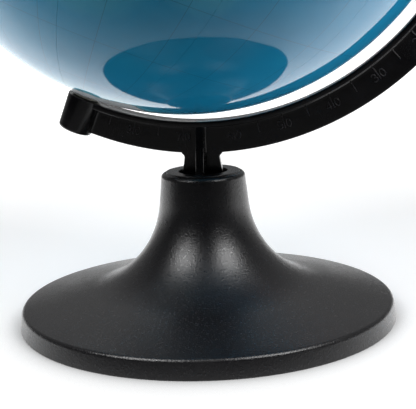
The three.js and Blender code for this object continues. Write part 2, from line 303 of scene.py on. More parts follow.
def vector_maths(tree, operation, *vectors):
    """The result of a sum on vectors, which is a number for a length or a dot product."""
    node = tree.nodes.new("ShaderNodeVectorMath")
    node.operation = operation
    for vector, socket in zip(vectors, node.inputs):
        link(tree, vector, socket)
    return node.outputs["Value" if operation in ("DOT_PRODUCT", "LENGTH") else "Vector"]


def parts_of(tree, vector):
    """The three parts of a vector."""
    node = tree.nodes.new("ShaderNodeSeparateXYZ")
    link(tree, vector, node.inputs[0])
    return node.outputs


def grey(level):
    """A plain grey."""
    return level, level, level, 1


def step_up(tree, value, low, high, bottom=0.0, top=1.0):
    """A smooth step from bottom to top as value goes from low to high."""
    node = tree.nodes.new("ShaderNodeMapRange")
    node.interpolation_type = "SMOOTHSTEP"
    for socket, amount in zip(node.inputs, (value, low, high, bottom, top)):
        link(tree, amount, socket)
    return node.outputs[0]


def mixed(tree, factor, first, second, blend="MIX"):
    """Two colours mixed by a factor."""
    node = tree.nodes.new("ShaderNodeMix")
    node.data_type = "RGBA"
    node.blend_type = blend
    for index, value in ((0, factor), (6, first), (7, second)):
        link(tree, value, node.inputs[index])
    return node.outputs[2]


def noise(tree, where, scale, detail=2.0, roughness=0.5):
    """Cloudy noise between 0 and 1."""
    node = tree.nodes.new("ShaderNodeTexNoise")
    for name, value in (("Vector", where), ("Scale", scale), ("Detail", detail),
                        ("Roughness", roughness)):
        link(tree, value, node.inputs[name])
    return node.outputs["Fac"]


def bump(tree, height, depth, normal=None):
    """A normal from a height between 0 and 1, where 1 stands depth metres proud."""
    node = tree.nodes.new("ShaderNodeBump")
    node.inputs["Distance"].default_value = depth
    link(tree, height, node.inputs["Height"])
    if normal is not None:
        link(tree, normal, node.inputs["Normal"])
    return node.outputs[0]


def object_place(tree):
    """The place on the object, in metres."""
    return tree.nodes.new("ShaderNodeTexCoord").outputs["Object"]


def place_group(tree, group, **values):
    """A group's node in a material, with its own values for the group's inputs."""
    node = tree.nodes.new("ShaderNodeGroup")
    node.node_tree = group
    for name, value in values.items():
        link(tree, value, node.inputs[name.replace("_", " ")])
    return node


def new_group(name, inputs, outputs):
    """A shader group with its inputs and outputs as (name, kind, value) rows."""
    group = bpy.data.node_groups.new(name, "ShaderNodeTree")
    for label, kind, value in inputs:
        socket = group.interface.new_socket(label, in_out="INPUT", socket_type=kind)
        if value is not None:
            socket.default_value = value
    for label, kind in outputs:
        group.interface.new_socket(label, in_out="OUTPUT", socket_type=kind)
    entry = group.nodes.new("NodeGroupInput")
    leave = group.nodes.new("NodeGroupOutput")
    return group, entry.outputs, leave.inputs


def moulded_grain_group():
    """The fine pitted skin of a spark-eroded mould: rounded pits of one size with a finer
    grit in them, the height from 0 to 1 and a mask of the pits' raised lips, for painted glints
    on them."""
    group, take, give = new_group(
        "moulded grain",
        [("Vector", "NodeSocketVector", None), ("Pit Size", "NodeSocketFloat", 0.0006)],
        [("Height", "NodeSocketFloat"), ("Lips", "NodeSocketFloat")],
    )
    scale = maths(group, "DIVIDE", 1.0, take["Pit Size"])
    pits = noise(group, take["Vector"], scale, 1.5, 0.55)
    grit = noise(group, take["Vector"], maths(group, "MULTIPLY", scale, 2.7), 1.0)
    height = maths(group, "MULTIPLY_ADD", grit, 0.35, maths(group, "MULTIPLY", pits, 0.65))
    link(group, step_up(group, height, 0.33, 0.67), give["Height"])
    link(group, step_up(group, height, 0.55, 0.66), give["Lips"])
    return group


def handling_group():
    """Faint marks of use: cloudy wiping smears, fine hair scratches and sparse dust specks."""
    group, take, give = new_group(
        "handling marks",
        [("Vector", "NodeSocketVector", None), ("Smear Size", "NodeSocketFloat", 0.03)],
        [("Smears", "NodeSocketFloat"), ("Scratches", "NodeSocketFloat"),
         ("Dust", "NodeSocketFloat")],
    )
    scale = maths(group, "DIVIDE", 1.0, take["Smear Size"])
    smears = step_up(group, noise(group, take["Vector"], scale, 4.0, 0.6), 0.38, 0.66)
    stretched = vector_maths(group, "MULTIPLY", take["Vector"], (1.0, 0.12, 0.3))
    lines = noise(group, stretched, 2600.0, 2.0, 0.4)
    patches = noise(group, take["Vector"], 55.0, 1.0)
    thin = maths(group, "COMPARE", lines, 0.5, 0.006)
    link(group, smears, give["Smears"])
    link(group, maths(group, "MULTIPLY", thin, step_up(group, patches, 0.5, 0.62)),
         give["Scratches"])
    specks = group.nodes.new("ShaderNodeTexVoronoi")
    link(group, take["Vector"], specks.inputs["Vector"])
    specks.inputs["Scale"].default_value = 170.0
    near = step_up(group, specks.outputs["Distance"], 0.035, 0.02)
    few = maths(group, "MULTIPLY", near, step_up(group, patches, 0.48, 0.56))
    link(group, few, give["Dust"])
    return group


def new_finish(name):
    """An empty material with its Principled shader: (material, tree, shader inputs)."""
    finish = bpy.data.materials.new(name)
    finish.use_nodes = True
    tree = finish.node_tree
    shader = next(n for n in tree.nodes if n.type == "BSDF_PRINCIPLED")
    return finish, tree, shader.inputs


# ------------------------------------------------------------------ finishes

def stand_plastic(grain, handling):
    """Black polystyrene with a fine satin grain, with painted glints: a little lighter black on
    the raised lips of its pits.
    """
    finish, tree, shader = new_finish("stand_satin_black")
    place = object_place(tree)
    skin = place_group(tree, grain, Vector=place, Pit_Size=0.0008).outputs
    marks = place_group(tree, handling, Vector=place, Smear_Size=0.035).outputs
    # painted glints: the raised lips of the pits get a lighter black
    tone = mixed(tree, skin["Lips"], (0.0028, 0.0026, 0.0034, 1), (0.0100, 0.0094, 0.0110, 1))
    dusty = maths(tree, "MULTIPLY", marks["Dust"], 0.5)
    link(tree, mixed(tree, dusty, tone, (0.12, 0.115, 0.11, 1)), shader["Base Color"])
    rough = maths(tree, "MULTIPLY_ADD", marks["Smears"], 0.05, 0.31)
    pitted = maths(tree, "MULTIPLY_ADD", skin["Lips"], -0.10, rough)
    link(tree, pitted, shader["Roughness"])
    link(tree, bump(tree, skin["Height"], 0.000035), shader["Normal"])
    shader["Specular IOR Level"].default_value = 0.52
    return finish


def arm_plastic(name, handling, shade, base_rough):
    """Polished black plastic with faint flow waves, wiping smears and hair scratches."""
    finish, tree, shader = new_finish(name)
    place = object_place(tree)
    marks = place_group(tree, handling, Vector=place, Smear_Size=0.012).outputs
    tone = (shade, shade * 0.9, shade * 1.15, 1)
    worn = (shade * 2.6, shade * 2.4, shade * 2.8, 1)
    link(tree, mixed(tree, marks["Dust"], mixed(tree, marks["Smears"], tone, worn),
                     grey(0.10)), shader["Base Color"])
    rough = maths(tree, "MULTIPLY_ADD", marks["Smears"], 0.08, base_rough)
    link(tree, maths(tree, "MULTIPLY_ADD", marks["Scratches"], 0.25, rough),
         shader["Roughness"])
    flow = noise(tree, place, 140.0, 2.0)
    waves = bump(tree, flow, 0.00012)
    link(tree, bump(tree, noise(tree, place, 1500.0, 2.0), 0.000008, waves),
         shader["Normal"])
    shader["Specular IOR Level"].default_value = 0.5
    return finish


def plain_plastic(name, handling, low, high, base_rough, grain_depth):
    """A moulded plastic between two near tones, with smears and a fine skin."""
    finish, tree, shader = new_finish(name)
    place = object_place(tree)
    marks = place_group(tree, handling, Vector=place, Smear_Size=0.02).outputs
    link(tree, mixed(tree, marks["Smears"], low, high), shader["Base Color"])
    link(tree, maths(tree, "MULTIPLY_ADD", marks["Smears"], 0.1, base_rough),
         shader["Roughness"])
    link(tree, bump(tree, noise(tree, place, 1200.0, 3.0), grain_depth), shader["Normal"])
    return finish


def turned_steel(handling):
    """Zinc-plated steel with fine turning lines and cloudy tarnish."""
    finish, tree, shader = new_finish("plated_steel")
    place = object_place(tree)
    marks = place_group(tree, handling, Vector=place, Smear_Size=0.004).outputs
    link(tree, mixed(tree, marks["Smears"], (0.50, 0.51, 0.53, 1), (0.36, 0.35, 0.34, 1)),
         shader["Base Color"])
    shader["Metallic"].default_value = 1.0
    link(tree, maths(tree, "MULTIPLY_ADD", marks["Smears"], 0.16, 0.24), shader["Roughness"])
    lines = noise(tree, vector_maths(tree, "MULTIPLY", place, (1.0, 1.0, 6.0)), 2500.0, 2.0)
    link(tree, bump(tree, lines, 0.00001), shader["Normal"])
    return finish


def attribute(tree, name, output="Vector"):
    """What a mesh attribute says."""
    node = tree.nodes.new("ShaderNodeAttribute")
    node.attribute_name = name
    return node.outputs[output]


def straight_to_camera(tree):
    """1 for what the camera sees directly and 0 for what lights or reflects."""
    return tree.nodes.new("ShaderNodeLightPath").outputs["Is Camera Ray"]


def nearest_two(tree, values):
    """The smallest and the second smallest of several values."""
    least, second = values[0], 10000.0
    for value in values[1:]:
        higher = maths(tree, "MAXIMUM", least, value)
        second = maths(tree, "MINIMUM", second, higher)
        least = maths(tree, "MINIMUM", least, value)
    return least, second


def graticule(tree, degrees, every, width):
    """1 on lines drawn at whole steps of an angle, of the given width in degrees."""
    part = maths(tree, "DIVIDE", degrees, every)
    off = maths(tree, "ABSOLUTE", maths(tree, "SUBTRACT", part, maths(tree, "ROUND", part)))
    return step_up(tree, maths(tree, "MULTIPLY", off, every), width, width * 0.45)


def map_print():
    """The printed map under its clear varnish: shelf and deep sea tints, five tints of land
    with thin wavy borders, ice, a dark coast line and a thin grid of meridians."""
    finish, tree, shader = new_finish("printed_map")
    place = object_place(tree)
    coast = attribute(tree, "coast", "Fac")
    wiggle = maths(tree, "SUBTRACT", noise(tree, place, 190.0, 5.0, 0.62), 0.5)
    shore = maths(tree, "MULTIPLY_ADD", wiggle, 2.2, coast)
    depth = noise(tree, place, 16.0, 4.0, 0.55)
    deep = mixed(tree, step_up(tree, depth, 0.35, 0.68), (0.014, 0.300, 0.560, 1),
                 (0.020, 0.360, 0.640, 1))
    far = maths(tree, "MULTIPLY_ADD", wiggle, 3.0, coast)
    sea = mixed(tree, step_up(tree, far, -7.5, -2.0), deep, (0.070, 0.440, 0.660, 1))
    sea = mixed(tree, step_up(tree, far, -2.2, -0.4), sea, (0.210, 0.580, 0.720, 1))
    land = land_tints(tree, place)
    whole = mixed(tree, step_up(tree, shore, -0.05, 0.05), sea, land)
    edge = step_up(tree, maths(tree, "ABSOLUTE", shore), 0.16, 0.06)
    inked = mixed(tree, maths(tree, "MULTIPLY", edge, 0.75), whole, (0.012, 0.060, 0.130, 1))
    longitude, latitude = map_angles(tree, place)
    lines = maths(tree, "MAXIMUM", graticule(tree, longitude, 15.0, 0.11),
                  graticule(tree, latitude, 15.0, 0.09))
    ruled = mixed(tree, maths(tree, "MULTIPLY", lines, 0.42), inked, (0.010, 0.070, 0.170, 1))
    link(tree, ruled, shader["Base Color"])
    link(tree, maths(tree, "MULTIPLY_ADD", depth, 0.03, 0.035), shader["Roughness"])
    shader["IOR"].default_value = 1.46
    waves = bump(tree, noise(tree, place, 42.0, 1.5, 0.45), 0.00022)
    link(tree, bump(tree, noise(tree, place, 900.0, 2.0), 0.0000015, waves),
         shader["Normal"])
    return finish


def map_angles(tree, place):
    """Longitude and latitude in degrees of a place on the ball, worked out about the polar
    axis: atan2(x, -y) turned to the front meridian, and asin(z / R)."""
    centre = tuple(BALL_CENTRE * METRE)
    arm = vector_maths(tree, "NORMALIZE", vector_maths(tree, "SUBTRACT", place, centre))
    axes = ((math.cos(TILT), 0.0, -math.sin(TILT)), (0.0, -1.0, 0.0),
            (math.sin(TILT), 0.0, math.cos(TILT)))
    parts = [vector_maths(tree, "DOT_PRODUCT", arm, axis) for axis in axes]
    turn = maths(tree, "DEGREES", maths(tree, "ARCTAN2", parts[0], parts[1]))
    longitude = maths(tree, "ADD", turn, FRONT_LONGITUDE)
    return longitude, maths(tree, "DEGREES", maths(tree, "ARCSINE", parts[2]))


def land_tints(tree, place):
    """Each land tint where its own countries are nearest, with a thin line where two meet,
    and white ice where the ice attribute says."""
    stir = maths(tree, "SUBTRACT", noise(tree, place, 120.0, 4.0, 0.6), 0.5)
    first = parts_of(tree, attribute(tree, "tints_a"))
    second = parts_of(tree, attribute(tree, "tints_b"))
    reach = [*first, second[0], second[1]]
    pull = (0.0, 8.0, -7.5, 4.0, -4.5)
    reach = [maths(tree, "MULTIPLY_ADD", stir, p, r) for r, p in zip(reach, pull)]
    tints = ((0.760, 0.560, 0.230, 1), (0.610, 0.300, 0.260, 1), (0.330, 0.520, 0.210, 1),
             (0.720, 0.420, 0.450, 1), (0.720, 0.650, 0.420, 1))
    least, next_least = nearest_two(tree, reach)
    colour = tints[0]
    for value, tint in zip(reach[1:], tints[1:]):
        ahead = maths(tree, "SUBTRACT", value, least)
        colour = mixed(tree, step_up(tree, ahead, 0.03, 0.0), colour, tint)
    gap = maths(tree, "SUBTRACT", next_least, least)
    border = step_up(tree, gap, 0.26, 0.08)
    colour = mixed(tree, maths(tree, "MULTIPLY", border, 0.6), colour,
                   (0.180, 0.080, 0.090, 1))
    ice = step_up(tree, second[2], 0.4, 0.6)
    return mixed(tree, ice, colour, (0.760, 0.820, 0.850, 1))


# ------------------------------------------------------------------ the map's outlines

# Coasts as corners in degrees of longitude and latitude, drawn round each land.
LANDS = (
    # Africa and Madagascar
    ((-6, 35.8), (0, 36), (10, 37.3), (11, 34), (15, 32.3), (20, 31), (20, 32.8), (25, 31.7),
     (32, 31.3), (34.5, 28), (37, 21), (39, 16), (43, 12), (44, 10.5), (51, 11.8), (48, 5),
     (42, -1.5), (39.5, -5), (40.5, -11), (40, -16), (35, -20), (35.5, -24), (32.7, -26.5),
     (31, -29.5), (27, -33.5), (20, -34.8), (18.3, -33.5), (17, -29), (14.5, -23), (12, -17),
     (13.7, -12), (12.2, -6), (9, -1), (9.7, 4), (7, 4.3), (4.5, 6.3), (1, 6), (-4, 5.2),
     (-7.5, 4.4), (-13, 8.5), (-16.7, 12.5), (-17.4, 14.8), (-16.3, 19), (-17, 21), (-15, 26),
     (-11, 29), (-9.7, 31.5)),
    ((49.3, -12), (50.5, -15.7), (47, -25), (44, -25), (43.3, -22), (44.4, -16.5),
     (47.5, -14.5)),
    # Europe and Asia
    ((-9, 37), (-9.5, 39), (-9, 43.3), (-1.8, 43.4), (-1.2, 46), (-4.7, 48.4), (-1.5, 48.7),
     (-1.5, 49.7), (1.6, 50.9), (4, 52), (7, 53.5), (8.6, 54), (8.2, 57), (10.5, 57.6),
     (10.5, 55), (12, 54.2), (18.5, 54.8), (21, 55.5), (21.5, 57.5), (24, 57.2), (23.5, 59.2),
     (30, 59.9), (23, 60), (21.5, 61.5), (25.5, 65), (22, 65.8), (17.3, 62), (17.2, 60.6),
     (18.8, 60), (16.5, 57), (14.3, 55.5), (12.8, 55.4), (11.2, 59), (8, 58), (5.5, 59),
     (5, 62), (10, 64), (14, 68), (20, 70), (26, 71), (31, 70.3), (41, 67), (40, 66.2),
     (33, 66.7), (35, 64.3), (40, 64.6), (44, 66), (44, 68.3), (54, 68.5), (60, 69),
     (68, 68.5), (67, 71), (69.5, 73), (73, 71.3), (74, 67), (77, 72), (87, 75), (104, 77.7),
     (113, 74), (127, 73), (131, 71), (140, 72.5), (152, 71), (161, 69.6), (170, 69.5),
     (180, 68.8), (190, 66), (186, 64.5), (180, 65), (177, 62.5), (170, 60), (163, 59.5),
     (162, 56), (156.7, 51), (156, 57), (163, 61.5), (155, 59.3), (142, 59), (135.5, 54.7),
     (141, 53), (140, 48), (135, 43.5), (130.5, 42.3), (127.5, 39.8), (129.4, 37),
     (129, 35.2), (126.4, 34.5), (126.6, 37), (125, 38), (125, 39.8), (121.5, 39),
     (121.5, 40.8), (118, 39), (119, 37.3), (122.5, 37), (119.3, 35), (121.8, 31.5),
     (121.5, 28.5), (118, 24.5), (114, 22.4), (110.3, 21.2), (108, 21.6), (105.8, 19),
     (108.8, 15.5), (109.3, 12), (106.8, 10.4), (105, 9), (105, 10.5), (101, 13), (99.9, 11),
     (99.6, 9), (103, 5.5), (104, 1.4), (101, 2.8), (100.3, 6), (98.3, 8.5), (98.6, 13),
     (97.5, 16.5), (94.4, 16), (94, 19), (91.8, 22.4), (88, 21.7), (86.8, 20.8),
     (82.3, 16.7), (80.2, 15), (80, 11), (78, 8.3), (76.3, 9.7), (73, 17), (72.7, 21),
     (70.5, 20.9), (69, 22.5), (67, 24.8), (61.5, 25.1), (57, 26.8), (51.5, 27.9), (50, 30),
     (48, 30), (50, 26.7), (51.5, 24.5), (54, 24), (56.4, 26), (56.6, 24.4), (59.7, 22.5),
     (57.5, 18.9), (52, 15.6), (45, 12.8), (43.2, 13.2), (42.7, 16.5), (39, 21.5), (35, 28),
     (34.3, 31.3), (36, 35.5), (36, 36.7), (30.5, 36.5), (27.3, 37), (26.5, 40), (29.2, 41.2),
     (35, 42), (41.5, 41.3), (38, 44.5), (37.5, 46.8), (35, 46), (33.5, 44.5), (32.5, 46),
     (30.7, 46.4), (28, 43.5), (28.5, 41.3), (26, 40.7), (23.5, 40.4), (23, 39), (24, 38),
     (22.8, 36.5), (21.2, 38), (19.4, 41.5), (15, 44.5), (13.7, 45.5), (12.4, 45),
     (13.7, 43.3), (16, 41.7), (18.4, 40.1), (16.8, 40.4), (16.5, 38.7), (15.8, 38),
     (15.8, 40), (12.3, 41.8), (10.2, 43.9), (8.7, 44.3), (6.5, 43.2), (3.2, 43.2),
     (3.2, 41.8), (0.2, 40.5), (-0.5, 38.3), (-2.2, 36.8), (-5.5, 36.2)),
    # North America and its islands
    ((-168, 65.6), (-162, 66.5), (-166, 68.5), (-156.5, 71.3), (-141, 69.7), (-128, 70.3),
     (-115, 68), (-108, 68), (-96, 67.5), (-94, 72), (-88, 69), (-81.5, 69.5), (-82, 67),
     (-87, 64.5), (-94, 61), (-94.5, 58.8), (-92.5, 57), (-85, 55.3), (-82.3, 53),
     (-80, 51.3), (-79, 54), (-77, 57), (-78, 60), (-77.5, 62.5), (-70, 61.2), (-69.5, 59),
     (-65, 60), (-61.5, 57), (-57, 53.5), (-56, 51.5), (-60, 50.2), (-66.5, 50.2), (-65, 49),
     (-64.5, 46.5), (-61, 45.6), (-66, 43.6), (-67, 45), (-70, 43.7), (-70.5, 42),
     (-74, 40.6), (-75.5, 36.5), (-76.5, 34.7), (-81, 32), (-80, 26.8), (-80.5, 25.2),
     (-82, 27), (-84, 30), (-89, 30.2), (-90.5, 29.3), (-94, 29.6), (-97.3, 27.5),
     (-97.8, 22.5), (-96, 19), (-94.5, 18.2), (-91, 18.7), (-90.3, 21), (-87, 21.5),
     (-88, 18), (-88.5, 15.8), (-83.3, 15), (-83.7, 11), (-82, 9), (-79.5, 9.5), (-77.4, 8.5),
     (-78.5, 8), (-80.4, 7.4), (-83.5, 8.5), (-85.8, 10), (-87.6, 13), (-92, 14.5),
     (-95, 16), (-100, 17), (-105.5, 20), (-105.6, 22.5), (-109.4, 25.8), (-112.5, 29.5),
     (-114.7, 31.7), (-112, 27), (-109.5, 23), (-112, 25), (-115, 29), (-117.2, 33),
     (-120.6, 34.5), (-124.3, 40.3), (-124, 46), (-123, 49), (-128, 51.5), (-131, 55),
     (-137, 58.7), (-145, 60.3), (-151, 59.5), (-154, 58), (-162, 55), (-158, 58),
     (-162, 59), (-165.5, 61.5), (-161, 64.5)),
    ((-64, 63.5), (-65, 66.5), (-62, 67), (-70, 70), (-79, 73.5), (-88, 73.5), (-85, 70),
     (-74, 68), (-73, 65), (-78, 64.5), (-70, 62.7)),
    ((-117, 69.5), (-105, 69), (-105, 73), (-115, 73.3)),
    ((-125, 72), (-120, 71.5), (-117, 74.3), (-124, 74.2)),
    ((-80, 76.3), (-90, 77), (-92, 81), (-70, 83.2), (-62, 82.5), (-75, 79)),
    ((-95, 75), (-81, 74.8), (-80, 76), (-95, 76.8)),
    ((-73, 78.3), (-60, 82), (-30, 83.5), (-12, 81.5), (-20, 75), (-22, 70.5), (-32, 68),
     (-40, 65), (-43.5, 60), (-48, 61), (-53.5, 66.5), (-51, 70), (-58, 75.5), (-68, 76)),
    ((-84.9, 21.9), (-82, 23.1), (-74.2, 20.2), (-77.5, 19.9), (-78, 21.3)),
    ((-74.3, 18.4), (-73, 19.9), (-68.4, 18.7), (-71.5, 17.8)),
    # South America
    ((-77.4, 8.5), (-75.5, 10.6), (-71.7, 12.3), (-71.3, 11), (-68, 11.5), (-62, 10.6),
     (-60, 8.4), (-57, 6), (-51.7, 4.3), (-50, 0.5), (-44.5, -2.5), (-40, -2.9),
     (-35.2, -5.2), (-34.9, -8.3), (-39, -13), (-39.5, -18), (-41.5, -22.3), (-45, -23.7),
     (-48.6, -26.2), (-48.8, -28.5), (-52.3, -33), (-54.9, -35), (-58.3, -34), (-57, -36.5),
     (-62, -39), (-65, -41), (-63.6, -42.6), (-67.4, -46), (-65.8, -48), (-69, -50.5),
     (-68.3, -52.4), (-65.2, -54.7), (-69, -55.6), (-74, -52.5), (-75.6, -47), (-73, -42),
     (-73.6, -37.2), (-71.5, -32), (-70.4, -23), (-70.3, -18.4), (-76, -14), (-79, -8.3),
     (-81.3, -5), (-80, -3), (-80.9, -1), (-80, 0.8), (-78.8, 1.5), (-77.3, 4), (-77.5, 7)),
    # Australia, New Zealand and the islands north of them
    ((113.7, -22.6), (113.5, -26.5), (115.7, -32), (115, -34.3), (118, -35), (123.5, -33.9),
     (126, -32.3), (131.2, -31.5), (134.2, -32.8), (135.7, -34.9), (137.8, -32.7),
     (138.3, -35.5), (140.5, -38), (143.6, -38.8), (146.4, -39), (150, -37.4),
     (151.3, -33.5), (153.2, -30), (153.3, -25), (149, -20.5), (146.2, -18.9), (145.4, -15),
     (143.6, -14.2), (142.5, -10.8), (141.6, -14), (140.8, -17.5), (139.2, -17.4),
     (135.7, -15), (136.8, -12.2), (132.6, -11.4), (130.6, -12.5), (129, -14.9), (126, -14),
     (122.2, -18), (119, -20), (115.5, -21.3)),
    ((144.7, -40.8), (148.3, -40.9), (147.5, -43.3), (146, -43.5)),
    ((172.7, -34.5), (175.3, -36.8), (178.4, -37.7), (175.3, -41.6), (173.8, -39.3),
     (174.7, -38)),
    ((172.7, -40.6), (174.2, -41.5), (170.7, -45.8), (168.5, -46.6), (166.5, -45.9),
     (171, -42.3)),
    ((131, -0.8), (134.2, -0.9), (135, -3.3), (138, -1.7), (144.5, -3.8), (147.8, -6),
     (150.8, -10.4), (147, -9.5), (143.5, -8.5), (141, -9.1), (138, -8), (138, -5.6),
     (133, -4)),
    ((109, 1.5), (111.4, 2.5), (113, 3.2), (116.7, 7), (119, 5.2), (117.5, 1), (116, -3.8),
     (110.2, -2.9)),
    ((95.3, 5.6), (98, 4), (104, -1), (106, -5.8), (102.3, -4), (98.5, 1.5)),
    ((105.3, -6.8), (108.5, -6.5), (114.5, -7.7), (114.3, -8.7), (106.5, -7.4)),
    ((119.5, -5.5), (119, -3), (120, 0.5), (125, 1.4), (121, 0.4), (121, -1), (123.3, -0.9),
     (121.5, -2), (122.8, -4.5), (120.8, -3)),
    # Iceland, Britain, Ireland and the northern islands
    ((-24, 65.5), (-22.5, 66.4), (-16, 66.5), (-13.6, 65), (-18.5, 63.4), (-22.5, 64)),
    ((-5.5, 50.1), (1.3, 51.2), (1.7, 52.7), (0, 53.5), (-1.7, 55.5), (-2, 57.5), (-5, 58.6),
     (-6, 56.5), (-3, 54), (-4.5, 52.5), (-5, 51.7)),
    ((-10, 52), (-6.2, 52.2), (-5.8, 54.7), (-8.5, 55.2), (-10, 54)),
    ((52, 71), (57, 70.7), (60, 75), (68, 77), (58, 75.5)),
    ((11, 79), (17, 76.7), (22, 78.5), (26, 80), (16, 80)),
    # Sicily and Sardinia
    ((12.5, 38), (15.5, 38.2), (15, 36.8)),
    ((8.2, 41), (9.7, 41), (9.2, 39)),
    # the Philippines, Japan, Ceylon, Taiwan, Hainan and Sakhalin
    ((120.3, 16), (120.6, 18.5), (122.2, 18.4), (121.5, 15), (124, 12.7), (120.7, 13.8)),
    ((122, 7), (125.5, 9.7), (126.4, 7), (124, 6.2)),
    ((131, 34.2), (136, 35.8), (139.5, 38.5), (140.3, 41.2), (142, 39.5), (140.8, 35.8),
     (137, 34.6), (132.5, 33.8)),
    ((129.8, 33.2), (131.7, 33.5), (131.2, 31.3), (130.2, 31.4)),
    ((140, 42), (141.7, 45.4), (145.3, 43.5), (143, 42)),
    ((79.8, 8.3), (81, 8.7), (81.8, 7), (80.5, 6)),
    ((120.2, 23), (121.5, 25.2), (121, 22)),
    ((108.7, 19.3), (111, 20), (109.5, 18.3)),
    ((142, 46), (142, 53), (143, 54), (144.5, 49), (143, 46.5)),
)

# The Caspian Sea and the Great Lakes.
LAKES = (
    ((49, 45.5), (53, 46.5), (53, 42), (54, 40), (53.5, 37), (49.5, 37.5), (49.5, 40.5),
     (48, 43)),
    ((-92, 46.8), (-88, 48.8), (-84.8, 46.8), (-87.5, 46.5)),
    ((-87.5, 42), (-86.3, 42.5), (-85.8, 45.8), (-87.5, 45)),
    ((-84, 46), (-80.5, 45.5), (-81.8, 43.3), (-83.5, 43.8)),
)

# The coast of the southern ice, eastwards round the pole.
SOUTHERN_ICE = (
    (-180, -78), (-158, -77.5), (-150, -76.5), (-135, -74), (-110, -75), (-100, -73),
    (-85, -73), (-75, -72.5), (-68, -68), (-60, -63.3), (-57, -63.5), (-56.5, -64.5),
    (-56, -75), (-45, -78), (-35, -78), (-27, -75.5), (-15, -72.5), (0, -70), (15, -70),
    (33, -69), (40, -69.5), (50, -67), (57, -66.7), (70, -69.5), (80, -68), (90, -66.7),
    (110, -66.3), (130, -66.2), (145, -67), (160, -69.5), (171, -72), (172, -76),
    (173, -78), (180, -78),
)

# A point or more inside each country, under the tint that it is printed in.
TINTS = (
    ((-102, 24), (-110, 28), (-66, 8), (-78.5, -1.5), (-58, -23), (-71, -25), (-71.5, -35),
     (-73, -43), (-74, -50), (-19, 65), (-8, 39.5), (10, 51), (22, 39), (32, 49), (26, 64),
     (54, 33), (-10, 20), (30, 16), (13, -1), (8, 9.5), (36, -17), (17, -22), (80, 40),
     (88, 33), (100, 37), (105, 30), (113, 27), (115, 36), (125, 45), (102, -1),
     (110, -7.3), (114, -1), (121, -2), (138, -4), (-8, 53)),
    ((-90, 15), (-79, 22), (-73, 4), (-56, -33), (-4, 40), (19, 47), (15, 62), (35, 39),
     (47, 15.5), (18, 27), (-2, 17.5), (46, 5), (23, -3), (12.5, 5.5), (30, -19),
     (46.5, -19.5), (73, 40), (78, 22), (77, 13), (93, 26), (106, 16), (123, 12),
     (103, 46.5), (94, 47)),
    ((-152, 64), (-115, 40), (-100, 40), (-85, 38), (-78, 41), (-92, 33), (-82, 8.8),
     (-56, 4), (-64.5, -17), (2.5, 46.5), (18, 44), (40, 56), (50, 60), (65, 62), (85, 62),
     (105, 64), (125, 64), (145, 64), (165, 65), (95, 55), (115, 54), (135, 50), (57, 21),
     (29, 27), (9, 17), (38, 0.5), (-1, 8), (-11, 10.5), (24, -22), (66, 34), (90, 24),
     (102, 4), (113, 3), (143, -6.5), (175, 66), (185, 66)),
    ((-120, 60), (-100, 58), (-80, 52), (-70, 55), (-95, 68), (-75, 68), (-110, 71),
     (-76, -9), (-65, -33), (-65, -26), (-68, -40), (-69, -48), (-2, 54), (12.5, 43),
     (15.5, 40), (19, 52), (42, 34), (-6, 32), (18.5, 15.5), (35, -6), (-14.5, 14.5),
     (18, -12.5), (67, 48), (69, 29.5), (96, 21), (127.5, 38), (122, -26), (134, -22),
     (145, -24), (147, -34), (81, 7.5)),
    ((-86, 13.5), (-60, -5), (-50, -8), (-42, -8), (-52, -16), (-46, -20), (-52, -27),
     (13, 47.3), (25, 46), (26, 55), (9, 61), (20, 69), (45, 24), (3, 28), (40, 9),
     (-5.5, 7.5), (21, 6.5), (27.5, -13.5), (24, -30), (61, 40), (84, 28.5), (101, 15.5),
     (138, 36.5), (143, 43), (131, 33), (172, -42), (176, -38)),
)

# Points inside the lands that are printed white.
ICE = ((-42, 72), (-35, 80), (-45, 64), (-60, 80), (-85, 80), (18, 78.5))


def on_sphere(lonlat):
    """Unit vectors of places given as longitude and latitude in degrees."""
    lon, lat = np.radians(np.asarray(lonlat, float)).T
    return np.stack((np.cos(lat) * np.cos(lon), np.cos(lat) * np.sin(lon), np.sin(lat)), -1)


def inside(outline, lon, lat):
    """Whether places lie inside an outline: whether a line due east crosses it an odd number
    of times."""
    x, y = np.asarray(outline, float).T
    x2, y2 = np.roll(x, -1), np.roll(y, -1)
    spans = (y > lat[:, None]) != (y2 > lat[:, None])
    rise = np.where(y2 == y, 1.0, y2 - y)
    crossing = x + (lat[:, None] - y) * (x2 - x) / rise
    return (spans & (lon[:, None] < crossing)).sum(axis=1) % 2 == 1


def coast_distance(lon, lat):
    """Degrees to the nearest coast, positive on land. The square of the chord to a coast's
    segment from a along d is 2 - 2 p.a - 2 t s + t^2 d.d, with s = p.d - a.d and t = s / d.d
    kept between 0 and 1."""
    land = lat < np.interp(lon, *np.transpose(SOUTHERN_ICE))
    for outline in LANDS:
        land |= inside(outline, lon, lat) | inside(outline, lon + 360, lat)
    for outline in LAKES:
        land &= ~inside(outline, lon, lat)
    starts = [on_sphere(outline) for outline in LANDS + LAKES]
    ends = [np.roll(points, -1, axis=0) for points in starts]
    ice = on_sphere(SOUTHERN_ICE)
    a = np.concatenate(starts + [ice[:-1]]).astype(np.float32)
    d = np.concatenate(ends + [ice[1:]]).astype(np.float32) - a
    p = on_sphere(np.stack((lon, lat), axis=-1)).astype(np.float32)
    length = (d * d).sum(axis=1)
    s = p @ d.T - (a * d).sum(axis=1)
    t = np.clip(s / np.maximum(length, 1e-9), 0, 1)
    squared = 2 - 2 * p @ a.T - 2 * t * s + t * t * length
    chord = np.sqrt(np.maximum(squared.min(axis=1), 0))
    return np.degrees(2 * np.arcsin(chord / 2)) * np.where(land, 1.0, -1.0)


def nearest_angle(lon, lat, seeds):
    """Degrees from each place to the nearest of the seeds."""
    cosine = on_sphere(np.stack((lon, lat), axis=-1)) @ on_sphere(seeds).T
    return np.degrees(np.arccos(np.clip(cosine.max(axis=1), -1, 1)))


